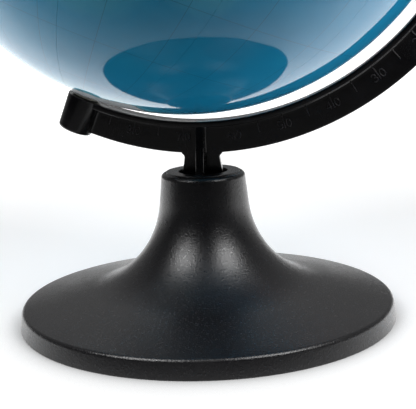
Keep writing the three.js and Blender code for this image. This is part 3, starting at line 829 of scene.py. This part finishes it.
def print_map(piece):
    """Gives every point of a map piece its distance to the coast, to each tint's nearest
    country and whether it is printed as ice."""
    mesh = piece.data
    co = np.empty(len(mesh.vertices) * 3, np.float32)
    mesh.vertices.foreach_get("co", co)
    world = co.reshape(-1, 3) / METRE - BALL_CENTRE
    x = world[:, 0] * math.cos(TILT) - world[:, 2] * math.sin(TILT)
    z = world[:, 0] * math.sin(TILT) + world[:, 2] * math.cos(TILT)
    radius = np.linalg.norm(world, axis=1)
    lat = np.degrees(np.arcsin(np.clip(z / radius, -1, 1)))
    lon = np.degrees(np.arctan2(x, -world[:, 1])) + FRONT_LONGITUDE
    lon = (lon + 180) % 360 - 180
    reach = [nearest_angle(lon, lat, seeds) for seeds in TINTS]
    icy = (nearest_angle(lon, lat, ICE) < np.min(reach, axis=0)) | (lat < -60)
    coast = mesh.attributes.new("coast", "FLOAT", "POINT")
    coast.data.foreach_set("value", coast_distance(lon, lat).astype(np.float32))
    for name, columns in (("tints_a", reach[:3]), ("tints_b", reach[3:] + [icy * 1.0])):
        tint = mesh.attributes.new(name, "FLOAT_VECTOR", "POINT")
        tint.data.foreach_set("vector", np.stack(columns, axis=-1).astype(np.float32).ravel())


# ------------------------------------------------------------------ the stand

def flare_centre():
    """The centre of the circle that touches the drafted neck and the shallow cone."""
    neck = np.array([1.0, NECK_DRAFT])
    cone = np.array([CONE_SLOPE, 1.0])
    neck_side = NECK_RADIUS + NECK_DRAFT * BASE_HEIGHT
    cone_side = CONE_SLOPE * (BASE_RADIUS - RIM_DRAFT) + RIM_HEIGHT
    reach = [neck_side + FLARE_RADIUS * np.linalg.norm(neck),
             cone_side + FLARE_RADIUS * np.linalg.norm(cone)]
    return np.linalg.solve(np.array([neck, cone]), reach)


def flare(offset, steps):
    """The flare in section from cone to neck, moved inwards by an offset."""
    start = -90 - math.degrees(math.atan(CONE_SLOPE))
    end = -180 + math.degrees(math.atan(NECK_DRAFT))
    return arc(flare_centre(), FLARE_RADIUS + offset, start, end, steps)


def stand_profile():
    """The stand's wall in section: out along the foot, up the drafted rim and its rounded
    edge, over cone, flare and neck, round the neck's lip, over the raised land into the
    socket, and back down the inside."""
    top_radius = BASE_RADIUS - RIM_DRAFT
    cone_start = (top_radius - 6.0, RIM_HEIGHT + CONE_SLOPE * 6.0)
    foot = rounded([(BASE_RADIUS - BASE_WALL, 0), (BASE_RADIUS, 0), (top_radius, RIM_HEIGHT),
                    cone_start], (0, 0.35, RIM_EDGE, 0), 8)
    lip = arc((NECK_RADIUS - NECK_EDGE, BASE_HEIGHT - NECK_EDGE - LAND_STEP), NECK_EDGE,
              4, 84, 12)
    inner_rim = RIM_HEIGHT - BASE_WALL + CONE_SLOPE * BASE_WALL
    groove = BASE_HEIGHT - 2 * LAND_STEP
    land = rounded([(LAND_RADIUS + 0.12, groove), (LAND_RADIUS, groove),
                    (LAND_RADIUS, BASE_HEIGHT), (SOCKET_RADIUS, BASE_HEIGHT),
                    (SOCKET_RADIUS, SOCKET_FLOOR), (STUD_HOLE, SOCKET_FLOOR),
                    (STUD_HOLE, NECK_CEILING), (INNER_NECK_RADIUS, NECK_CEILING)],
                   (0, 0, 0.3, 0.35, 0.4, 0.3, 0.3, 0.8), 5)
    inner = flare(BASE_WALL, 48)[::-1]
    under = rounded([inner[-1], (BASE_RADIUS - BASE_WALL, inner_rim),
                     (BASE_RADIUS - BASE_WALL, 0)], (0, 1.5, 0), 6)
    return np.concatenate((foot, flare(0, 72), lip, land, inner, under[1:]))


def make_stand(finish):
    """The stand in one piece."""
    return make_piece("moulded_stand", lathe(stand_profile()), finish, "base",
                      ["base_shell"], crease=28.0)


# ------------------------------------------------------------------ the arm

def arm_section():
    """The arm's T in section, counter-clockwise in (outwards, y): rows of (offset from the
    rail's inner face, share of the whole depth, y). The web's own edge hangs on the outer
    circle, with share 1; the rest hangs on the rail's circle, with share 0."""
    edge, corner, fillet = 0.5, 0.4, 0.8
    tip = arc((-edge, WEB_HALF - edge), edge, 0, 90, 5)
    root = arc((RAIL_THICKNESS + fillet, WEB_HALF + fillet), fillet, -90, -180, 6)
    outer = arc((RAIL_THICKNESS - corner, RAIL_HALF_WIDTH - corner), corner, 0, 90, 4)
    inner = arc((corner, RAIL_HALF_WIDTH - corner), corner, 90, 180, 4)
    side = np.linspace(0, 1, 11)[1:-1, None]
    start = np.array([[-edge, 1.0, WEB_HALF]])
    end = np.array([[RAIL_THICKNESS + fillet, 0.0, WEB_HALF]])
    face = start + (end - start) * side

    def share(points, value):
        return np.insert(points, 1, value, axis=1)

    half = np.concatenate((share(tip, 1), face, share(root, 0), share(outer, 0),
                           share(inner, 0)))
    mirrored = half[::-1] * np.array([1, 1, -1])
    return np.concatenate((half, mirrored))


def arm_angles():
    """Angles along the arm: a degree apart, closer by the stem's rib and by the bosses."""
    rib = -90 + math.degrees(TILT)
    coarse = np.arange(-85.0, 85.5, 1.0)
    coarse = coarse[np.abs(coarse - rib) > 1.7]
    near_rib = np.arange(rib - 1.7, rib + 1.71, 0.08)
    near_boss = np.arange(85.2, 88.41, 0.1)
    return np.radians(np.sort(np.concatenate((coarse, near_rib, near_boss, -near_boss))))


def arm_bar():
    """The rail and web carried round the half circle. At the angle f a point stands at
    (c + r cos f, y, r sin f) about the rail's centre c, where the whole depth runs to the
    web's own circle. Near the rib and the bosses the web thickens as a fillet would."""
    section = arm_section()
    angle = arm_angles()[:, None]
    shift = WEB_OFFSET - RAIL_OFFSET
    whole = shift * np.cos(angle) + np.sqrt(WEB_OUTER ** 2 - (shift * np.sin(angle)) ** 2)
    radius = RAIL_INNER + section[:, 0] + section[:, 1] * (whole - RAIL_INNER)
    x, z = RAIL_OFFSET + radius * np.cos(angle), radius * np.sin(angle)
    y = section[:, 2] + 0 * x
    web = radius > RAIL_INNER + RAIL_THICKNESS + 0.02
    grown = np.abs(y) + np.where(web, web_growth(x, z), 0)
    y = np.sign(y) * np.where(web, np.minimum(grown, RAIL_HALF_WIDTH - 0.6), np.abs(y))
    points, faces = capped(np.stack((x, y, z), axis=-1))
    return from_polar(points), faces


def web_growth(x, z):
    """How much the web's half thickness grows at a place: a fillet of 2 mm against each boss
    and of 0.8 mm against the stem's rib, g = r - sqrt(r^2 - (c - x)^2)."""
    boss = (BOSS_RADIUS + BOSS_END_RADIUS) / 2
    fillet = 2.0
    centre = math.sqrt((boss + fillet) ** 2 - (WEB_HALF + fillet) ** 2)
    touch = centre * fillet / (boss + fillet)
    into = np.clip(centre - x, 0, touch)
    by_boss = fillet - np.sqrt(fillet ** 2 - into ** 2)
    across = np.abs(x * math.cos(TILT) + z * math.sin(TILT) + BALL_CENTRE[0])
    small = 0.8
    into_rib = np.clip(WEB_HALF + small - across, 0, small)
    by_rib = small - np.sqrt(small ** 2 - into_rib ** 2)
    return by_boss + np.where(z < 0, by_rib, 0)


def boss_profile():
    """A pole boss in section: a drafted post with a hole for the pin and a counterbore."""
    points = [(PIN_HOLE, BOSS_START), (BOSS_RADIUS, BOSS_START), (BOSS_END_RADIUS, BOSS_END),
              (SINK_RADIUS, BOSS_END), (SINK_RADIUS, BOSS_SINK), (PIN_HOLE, BOSS_SINK)]
    return rounded_ring(points, (0.2, 0.3, 1.1, 0.35, 0.2, 0.2), 6)


def upright_bar(z, half_x, half_y, corner):
    """A bar with a rounded oblong section that changes with height."""
    centres = ((1, 1, 0), (-1, 1, 90), (-1, -1, 180), (1, -1, 270))
    rings = []
    for side_x, side_y, start in centres:
        t = np.radians(np.linspace(start, start + 90, 6))
        px = side_x * (half_x - corner)[:, None] + corner * np.cos(t)
        py = side_y * (half_y - corner)[:, None] + corner * np.sin(t)
        rings.append(np.stack((px, py, z[:, None] + 0 * px), axis=-1))
    return capped(np.concatenate(rings, axis=1))


def stem_plate():
    """The plate in the plane of the arm: half width h = h0 + (h1 - h0) s^1.7 from the arm's
    edge down to the flange, and 1.1 u^2 wider over the last 1.6 mm before the arm."""
    z = np.linspace(FLANGE_TOP - ROOT_INSET, STEM_TOP + 2.6, 40)
    down = np.clip((STEM_TOP - z) / (STEM_TOP - FLANGE_TOP), 0, 1)
    half_x = STEM_TOP_HALF + (STEM_FOOT_HALF - STEM_TOP_HALF) * down ** 1.7
    spread, spread_height = 1.1, 1.6
    root = np.clip((z - STEM_TOP + spread_height) / spread_height, 0, 1)
    half_x = half_x + spread * root ** 2
    return upright_bar(z, half_x, np.full_like(z, WEB_HALF + 0.02), 0.45)


def stem_rib():
    """The rib across the plate: half depth from the rail's half width to the flange's edge."""
    z = np.linspace(FLANGE_TOP - ROOT_INSET, RIB_TOP, 24)
    down = (RIB_TOP - z) / (RIB_TOP - FLANGE_TOP)
    narrow = RAIL_HALF_WIDTH - 0.25
    half_y = narrow + (STEM_FOOT_HALF - narrow) * down
    return upright_bar(z, np.full_like(z, WEB_HALF), half_y, 0.4)


def stem_flange():
    """The round flange that the stem stands on."""
    profile = rounded([(0, FLANGE_BOTTOM), (FLANGE_RADIUS, FLANGE_BOTTOM),
                       (FLANGE_RADIUS, FLANGE_TOP), (0, FLANGE_TOP)], (0, 0.7, 0.8, 0), 7)
    return lathe(profile, BOSS_STEPS)


def threaded_stud():
    """A right-hand thread: r = R - d ((1 - cos 2 pi (z / p - t)) / 2)^0.8, with the crests a
    little uneven and the tip drawn in."""
    rows, columns = 96, 72
    z = np.linspace(STUD_TIP, FLANGE_BOTTOM + 1.0, rows)[:, None]
    t = np.linspace(0, 1, columns, endpoint=False)
    phase = 2 * np.pi * (z / THREAD_PITCH - t)
    cut = THREAD_DEPTH * ((1 - np.cos(phase)) / 2) ** 0.8
    uneven = 0.05 * (1 + np.sin(6 * np.pi * t + 1.3 * z))
    lead = np.clip((z - STUD_TIP) / 1.1, 0, 1)
    radius = STUD_RADIUS - np.maximum(cut + uneven * lead, (THREAD_DEPTH + 0.35) * (1 - lead))
    angle = 2 * np.pi * t
    grid = np.stack((radius * np.cos(angle), radius * np.sin(angle), z + 0 * radius), axis=-1)
    return capped(grid, (0, 0, z[0, 0]), (0, 0, z[-1, 0]))


def make_arm(finish):
    """The arm with its bosses, stem, flange and stud in one piece."""
    boss = lathe(boss_profile(), BOSS_STEPS)
    shape = joined(arm_bar(), placed_polar(boss), placed_polar(boss, south=True),
                   stem_plate(), stem_rib(), stem_flange(), threaded_stud())
    return make_piece("meridian_moulding", shape, finish, "meridian",
                      ["meridian_arm"], crease=35.0)


# ------------------------------------------------------------------ the arm's raised scale

def digit_strokes():
    """Each digit as a few strokes in a box 0.62 wide and 1 high."""
    line = np.array
    curl = ellipse((0.62, 0.31), (0.58, 0.66), 178, 108, 10)
    return {
        "0": [ellipse((0.31, 0.5), (0.28, 0.48), 90, 450, 26)],
        "1": [line([(0.12, 0.78), (0.34, 0.97), (0.34, 0.03)])],
        "2": [np.concatenate((ellipse((0.31, 0.70), (0.27, 0.27), 165, -30, 14),
                              [(0.04, 0.03), (0.60, 0.03)]))],
        "3": [ellipse((0.28, 0.74), (0.26, 0.23), 150, -80, 14),
              ellipse((0.28, 0.27), (0.30, 0.25), 85, -150, 14)],
        "4": [line([(0.45, 0.03), (0.45, 0.97), (0.03, 0.30), (0.61, 0.30)])],
        "5": [np.concatenate(([(0.56, 0.97), (0.12, 0.97), (0.09, 0.54)],
                              ellipse((0.29, 0.33), (0.30, 0.30), 125, -140, 16)))],
        "6": [ellipse((0.32, 0.31), (0.28, 0.28), 0, 360, 20), curl],
        "7": [line([(0.04, 0.97), (0.58, 0.97), (0.24, 0.03)])],
        "8": [ellipse((0.31, 0.74), (0.22, 0.23), -90, 270, 20),
              ellipse((0.31, 0.27), (0.28, 0.25), 90, 450, 22)],
    }


def ridge(path, width, height):
    """A half-round ridge along a flat path: across it the points stand at
    (w/2 cos t, h sin t), and one more lies below to close it."""
    tangent = np.gradient(path, axis=0)
    tangent /= np.linalg.norm(tangent, axis=1, keepdims=True)
    side = np.stack((-tangent[:, 1], tangent[:, 0]), axis=-1)
    t = np.radians(np.linspace(0, 180, 7))
    across = np.append(width / 2 * np.cos(t), 0.0)
    proud = np.append(height * np.sin(t), -0.25)
    flat = path[:, None] + side[:, None] * across[:, None]
    grid = np.concatenate((flat, np.broadcast_to(proud[:, None], flat.shape[:2] + (1,))), -1)
    first = np.append(path[0] - tangent[0] * width / 2, 0.0)
    last = np.append(path[-1] + tangent[-1] * width / 2, 0.0)
    return capped(grid, first, last)


def on_web(shape, latitude, radius, side):
    """Puts a flat mark on the web's face: up is towards the ball, and right is to the right of
    someone who faces that side. Side is -1 in front and 1 behind."""
    points, faces = shape
    f = math.radians(latitude)
    centre = np.array([WEB_OFFSET + radius * math.cos(f), 0.0, radius * math.sin(f)])
    up = np.array([-math.cos(f), 0.0, -math.sin(f)])
    right = np.array([-math.sin(f), 0.0, math.cos(f)]) * -side
    out = np.array([0.0, float(side), 0.0])
    spread = points[:, :1] * right + points[:, 1:2] * up + (points[:, 2:] + WEB_HALF) * out
    return from_polar(centre + spread), faces


def scale_marks():
    """Raised ticks every five degrees, but for the one that the stem covers, and the figures
    80 to 0 to 80 every ten, on both faces of the web, upright for someone outside the
    ball's circle looking in. The figure 0 hangs lower, clear of its tick."""
    strokes = digit_strokes()
    height, gap, width, proud = 3.0, 0.75, 0.36, 0.3
    tick_width, long_tick, short_tick, zero_drop = 0.4, 5.6, 4.5, 4.2
    digit_width = 0.62 * height
    marks = []
    for side in (-1, 1):
        for latitude in range(-85, 86, 5):
            if latitude == COVERED_TICK:
                continue
            length = short_tick if latitude % 10 else long_tick
            path = np.stack((np.zeros(6), np.linspace(0, -length, 6)), axis=-1)
            tick = ridge(path, tick_width, proud)
            marks.append(on_web(tick, latitude, TICK_START, side))
        for latitude in range(-80, 81, 10):
            shifts, drop = (-gap - digit_width, gap), 0.0
            if latitude == 0:
                shifts, drop = (-digit_width / 2,), zero_drop
            for digit, shift in zip(str(abs(latitude)), shifts):
                for path in strokes[digit]:
                    line = ridge(path * height + (shift, -height / 2 - drop), width, proud)
                    marks.append(on_web(line, latitude, FIGURE_MIDDLE, side))
    return joined(*marks)


def make_scale(finish):
    """All the raised marks in one piece."""
    return make_piece("latitude_scale", scale_marks(), finish, "meridian",
                      crease=50.0)


# ------------------------------------------------------------------ pins, bushes and washers

def closed_ring(inner, outer, bottom, top, edge, steps=SMALL_STEPS):
    """A washer or tube with its four edges rounded."""
    corners = [(inner, bottom), (outer, bottom), (outer, top), (inner, top)]
    return lathe(rounded_ring(corners, (edge,) * 4, 4), steps)


def pin_shape():
    """A pin from its chamfered tip to its head, which is domed as part of an ellipse."""
    shaft = rounded([(0, PIN_TIP), (PIN_RADIUS, PIN_TIP), (PIN_RADIUS, PIN_HEAD),
                     (PIN_HEAD_RADIUS, PIN_HEAD)], (0, 0.4, 0.15, 0), 4)
    head = ellipse((0, PIN_HEAD + 0.5), (PIN_HEAD_RADIUS, 0.7), 12, 90, 10)
    return lathe(np.concatenate((shaft, head)), SMALL_STEPS)


def bush_shape():
    """A bush with a lip that rests on the ball."""
    points = [(BUSH_BORE, BUSH_BOTTOM), (BUSH_RADIUS, BUSH_BOTTOM), (BUSH_RADIUS, BUSH_LIP),
              (BUSH_LIP_RADIUS, BUSH_LIP), (BUSH_LIP_RADIUS, BUSH_TOP), (BUSH_BORE, BUSH_TOP)]
    return lathe(rounded_ring(points, (0.2, 0.4, 0.1, 0.15, 0.3, 0.2), 4), SMALL_STEPS)


def make_pole_fittings(steel, nylon):
    """The pin, slip washer and bush at each pole."""
    washer = closed_ring(*SLIP_WASHER, 0.18)
    for side in ("north", "south"):
        south = side == "south"
        make_piece(f"{side}_pin", placed_polar(pin_shape(), south), steel, "meridian",
                   [f"{side}_pivot_pin"])
        make_piece(f"{side}_slip_washer", placed_polar(washer, south), nylon, "meridian",
                   [f"{side}_thrust_washer"])
        make_piece(f"{side}_bush", placed_polar(bush_shape(), south), nylon, "globe",
                   [f"{side}_pole_bush"])


def ear_shape(side):
    """One ear of the wing nut: an outline rounded over at its edges. Rows run from the middle
    of the back face, out over the rim and in to the middle of the front face."""
    outline = rounded([(5.2, 44.2), (5.2, 41.0), (8.6, 36.2), (10.6, 34.7), (NUT_REACH, 36.6),
                       (NUT_REACH, 39.2), (7.2, 44.4)], (0.4, 0.6, 1.4, 1.2, 0.8, 1.6, 0.5), 5)
    closed = np.roll(outline, -1, axis=0) - np.roll(outline, 1, axis=0)
    normal = np.stack((closed[:, 1], -closed[:, 0]), axis=-1)
    normal /= np.linalg.norm(normal, axis=1, keepdims=True)
    centre = outline.mean(axis=0)
    outward = np.sign(((outline - centre) * normal).sum(axis=1).mean())
    t = np.radians(np.linspace(0, 90, 5))
    rows = [np.tile((centre[0], -EAR_HALF, centre[1]), (len(outline), 1))]
    for a in t:
        ring = outline - outward * normal * (EAR_EDGE * (1 - math.sin(a)))
        y = np.full(len(ring), -EAR_HALF + EAR_EDGE * (1 - math.cos(a)))
        rows.append(np.column_stack((ring[:, 0], y, ring[:, 1])))
    rows += [row * np.array([1, -1, 1]) for row in rows[::-1]]
    grid = np.stack(rows) * np.array([side, side, 1])
    if area_of(outline) > 0:
        grid = grid[:, ::-1]
    return surface(grid)


def area_of(outline):
    """Twice the signed area inside an outline: positive if it runs counter-clockwise."""
    x, y = outline.T
    return float((x * np.roll(y, -1) - y * np.roll(x, -1)).sum())


def make_nut(nut, steel):
    """The wing nut, a drafted hub with two ears, and the washer above it."""
    hub_points = [(NUT_BORE, NUT_BOTTOM), (NUT_HUB - 1.0, NUT_BOTTOM), (NUT_HUB, NUT_TOP - 1.5),
                  (NUT_HUB, NUT_TOP), (NUT_BORE, NUT_TOP)]
    hub = lathe(rounded_ring(hub_points, (0.3, 0.6, 0.4, 0.4, 0.3), 5), BOSS_STEPS)
    shape = joined(hub, ear_shape(1), ear_shape(-1))
    make_piece("winged_nut", shape, nut, "nut", ["wing_nut"])
    washer = closed_ring(STUD_HOLE, STUD_HOLE + WASHER_WIDTH, WASHER_TOP - WASHER_THICKNESS,
                         WASHER_TOP, 0.22, 128)
    make_piece("steel_washer", washer, steel, "washer", ["nut_washer"])


# ------------------------------------------------------------------ the ball

def gore_shape(number):
    """One printed gore: its outer skin (R cos f sin l, -R cos f cos l, R sin f) from its west
    edge to its east edge, then its inner skin back again, closed at both ends."""
    rows, columns = 201, 43
    width = 2 * np.pi / GORE_COUNT
    limit = math.radians(CAP_LATITUDE) - SEAM / BALL_RADIUS
    lat = np.linspace(-limit, limit, rows)[:, None]
    u = np.linspace(0, 1, columns)
    inset = SEAM / BALL_RADIUS / np.cos(lat)
    lon = (number + u) * width + inset * (1 - 2 * u)
    skin = np.stack((np.cos(lat) * np.sin(lon), -np.cos(lat) * np.cos(lon),
                     np.sin(lat) + 0 * lon), axis=-1)
    grid = np.concatenate((skin * BALL_RADIUS, skin[:, ::-1] * (BALL_RADIUS - MAP_THICKNESS)),
                          axis=1)
    points, faces = surface(grid)
    j = np.arange(columns - 1)
    bottom = np.stack((2 * columns - 1 - j, 2 * columns - 2 - j, j + 1, j), axis=-1)
    top = bottom[:, ::-1] + (rows - 1) * 2 * columns
    return from_polar(points), np.concatenate((faces, bottom, top))


def cap_shape():
    """A round cap about the pole, from its seam to the hole for the bush."""
    start = CAP_LATITUDE + math.degrees(SEAM / BALL_RADIUS)
    hole = math.degrees(math.acos(CAP_HOLE / BALL_RADIUS))
    outer = arc((0, 0), BALL_RADIUS, start, hole, 30)
    inner = arc((0, 0), BALL_RADIUS - MAP_THICKNESS, hole, start, 30)
    return lathe(np.concatenate((outer, inner, outer[:1])), 360)


def make_ball(finish, shell):
    """The printed gores and caps, and a finish for the shells and the ring under them."""
    for number in range(GORE_COUNT):
        mark = f"gore_{number + 1:02d}"
        print_map(make_piece(f"printed_{mark}", gore_shape(number), finish, "globe",
                             [f"map_{mark}"], merge=False))
    for side in ("north", "south"):
        cap = placed_polar(cap_shape(), side == "south")
        print_map(make_piece(f"{side}_printed_cap", cap, finish, "globe",
                             [f"{side}_map_cap"]))
    for name in ("north_hemisphere", "south_hemisphere", "equator_joint_ring"):
        for place in frame["nodes"][name].material_slots:
            place.material = shell


# ------------------------------------------------------------------ camera, light and floor

def compass(azimuth, elevation):
    """The direction to a place at an azimuth from the front towards +X, and an elevation."""
    a, e = math.radians(azimuth), math.radians(elevation)
    return np.array([math.cos(e) * math.sin(a), -math.cos(e) * math.cos(a), math.sin(e)])


def make_camera():
    """The camera stands 0.389 m in front, tilted down by 11.7 degrees and rolled by 2."""
    yaw, pitch, roll, turn = 0.0036, 0.2046, -0.0361, math.radians(FRONT_AZIMUTH)
    right = np.array([math.cos(yaw), -math.sin(yaw), 0])
    ahead = np.array([math.sin(yaw) * math.cos(pitch), math.cos(yaw) * math.cos(pitch),
                      -math.sin(pitch)])
    up = np.cross(right, ahead)
    rolled_right = math.cos(roll) * right + math.sin(roll) * up
    rolled_up = math.cos(roll) * up - math.sin(roll) * right
    spin = np.array([[math.cos(turn), -math.sin(turn), 0],
                     [math.sin(turn), math.cos(turn), 0], [0, 0, 1]])
    matrix = np.eye(4)
    axes = (rolled_right, rolled_up, -ahead, np.array([0, -0.3885, 0.1234]))
    matrix[:3] = np.stack([spin @ axis for axis in axes], axis=1)
    lens = bpy.data.cameras.new("camera")
    lens.lens = 90.83
    lens.sensor_width = 36
    lens.clip_start = 0.01
    camera = bpy.data.objects.new("camera", lens)
    bpy.context.scene.collection.objects.link(camera)
    camera.matrix_world = Matrix(matrix.tolist())
    bpy.context.scene.camera = camera


def soft_light(name, azimuth, elevation, distance, size, power):
    """A soft rectangle of light that faces a point 60 mm above the floor."""
    lamp = bpy.data.lights.new(name, "AREA")
    lamp.shape = "RECTANGLE"
    lamp.size, lamp.size_y = size
    lamp.energy = power
    light = bpy.data.objects.new(name, lamp)
    bpy.context.scene.collection.objects.link(light)
    away = compass(azimuth, elevation)
    light.rotation_euler = Vector(away).to_track_quat("Z", "Y").to_euler()
    light.location = Vector(away * distance) + Vector((0, 0, 0.06))
    light.visible_camera = False


def make_lights():
    """Two softboxes, a weak back light and surroundings that are dark in front and paler
    behind, and white where the camera sees them."""
    soft_light("left softbox", FRONT_AZIMUTH - 50, 48, 1.25, (0.6, 0.6), 12.5)
    soft_light("right softbox", FRONT_AZIMUTH + 50, 48, 1.25, (0.6, 0.6), 13.5)
    soft_light("back light", FRONT_AZIMUTH + 180, 40, 1.6, (1.6, 0.7), 1.0)
    world = bpy.data.worlds.new("studio")
    bpy.context.scene.world = world
    world.use_nodes = True
    tree = world.node_tree
    background = next(n for n in tree.nodes if n.type == "BACKGROUND")
    direction = tree.nodes.new("ShaderNodeTexCoord").outputs["Generated"]
    behind = step_up(tree, parts_of(tree, direction)[1], -0.25, 0.75)
    around = mixed(tree, behind, (0.01, 0.01, 0.011, 1), grey(0.27))
    shown = mixed(tree, straight_to_camera(tree), around, grey(1))
    link(tree, shown, background.inputs["Color"])
    background.inputs["Strength"].default_value = 1.0


def make_floor():
    """A wide round floor with a faint mottle, just below the stand's foot, dark in front and
    pale behind for what it lights and reflects into, and behind the stand glowing for it as
    a painted bounce light. To the camera it glows like a lit sweep, with a painted contact
    shadow that dims the glow close to the stand, and more glow far away."""
    finish, tree, shader = new_finish("pale_floor")
    place = object_place(tree)
    behind = step_up(tree, parts_of(tree, place)[1], -0.14, 0.05)
    mottle = mixed(tree, noise(tree, place, 3.0, 2.0), grey(0.97), grey(1))
    tone = mixed(tree, behind, grey(0.09), grey(0.68))
    link(tree, mixed(tree, 1.0, tone, mottle, "MULTIPLY"), shader["Base Color"])
    # painted contact shadow: ambient occlusion dims the floor's glow to the camera near the
    # stand
    painted_contact_shadow = tree.nodes.new("ShaderNodeAmbientOcclusion")
    painted_contact_shadow.inputs["Distance"].default_value = 0.03
    painted_contact_shadow.samples = 8
    glow = maths(tree, "MULTIPLY", maths(tree, "MULTIPLY_ADD", behind, -0.45, 0.90),
                 maths(tree, "POWER", painted_contact_shadow.outputs["AO"], 2.4))
    away = vector_maths(tree, "LENGTH", place)
    glow = maths(tree, "ADD", glow, step_up(tree, away, 0.20, 0.9, 0.0, 0.7))
    # painted bounce light: the floor behind the stand glows for rays that are not the camera's
    bounce = maths(tree, "MULTIPLY", behind, 1.4)
    seen = straight_to_camera(tree)
    unseen = maths(tree, "MULTIPLY", maths(tree, "SUBTRACT", 1.0, seen), bounce)
    link(tree, maths(tree, "MULTIPLY_ADD", seen, glow, unseen), shader["Emission Strength"])
    shader["Roughness"].default_value = 0.7
    shader["Specular IOR Level"].default_value = 0.2
    shader["Emission Color"].default_value = grey(1)
    rings = np.array([0.0, 250.0, 1000.0, 4000.0])
    t = np.linspace(0, 2 * np.pi, 96, endpoint=False)
    grid = np.stack((rings[:, None] * np.cos(t), rings[:, None] * np.sin(t),
                     -0.05 + 0 * rings[:, None] * t), axis=-1)[::-1]
    points, faces = surface(grid)
    mesh = bpy.data.meshes.new("floor")
    mesh.from_pydata((points * METRE).tolist(), [], faces.tolist())
    close_seams(mesh)
    mesh.materials.append(finish)
    floor = bpy.data.objects.new("floor", mesh)
    bpy.context.scene.collection.objects.link(floor)


# ------------------------------------------------------------------ everything together

def build():
    """The camera, every finish, every piece, and the lights and floor."""
    make_camera()
    grain = moulded_grain_group()
    handling = handling_group()
    stand = stand_plastic(grain, handling)
    arm = arm_plastic("arm_polished_black", handling, 0.0022, 0.17)
    # the scale's raised marks get a lighter black than the arm: a painted highlight on their
    # ridges
    scale = arm_plastic("scale_black_painted_highlight", handling, 0.012, 0.30)
    nut = plain_plastic("nut_black", handling, (0.009, 0.009, 0.010, 1),
                        (0.016, 0.015, 0.016, 1), 0.40, 0.00002)
    shell = plain_plastic("shell_white", handling, (0.66, 0.67, 0.68, 1),
                          (0.58, 0.58, 0.57, 1), 0.42, 0.00001)
    nylon = plain_plastic("natural_nylon", handling, (0.72, 0.70, 0.63, 1),
                          (0.62, 0.59, 0.50, 1), 0.34, 0.000008)
    steel = turned_steel(handling)
    make_stand(stand)
    make_arm(arm)
    make_scale(scale)
    make_pole_fittings(steel, nylon)
    make_nut(nut, steel)
    make_ball(map_print(), shell)
    make_lights()
    make_floor()
    bpy.context.scene.view_settings.view_transform = "Standard"


build()
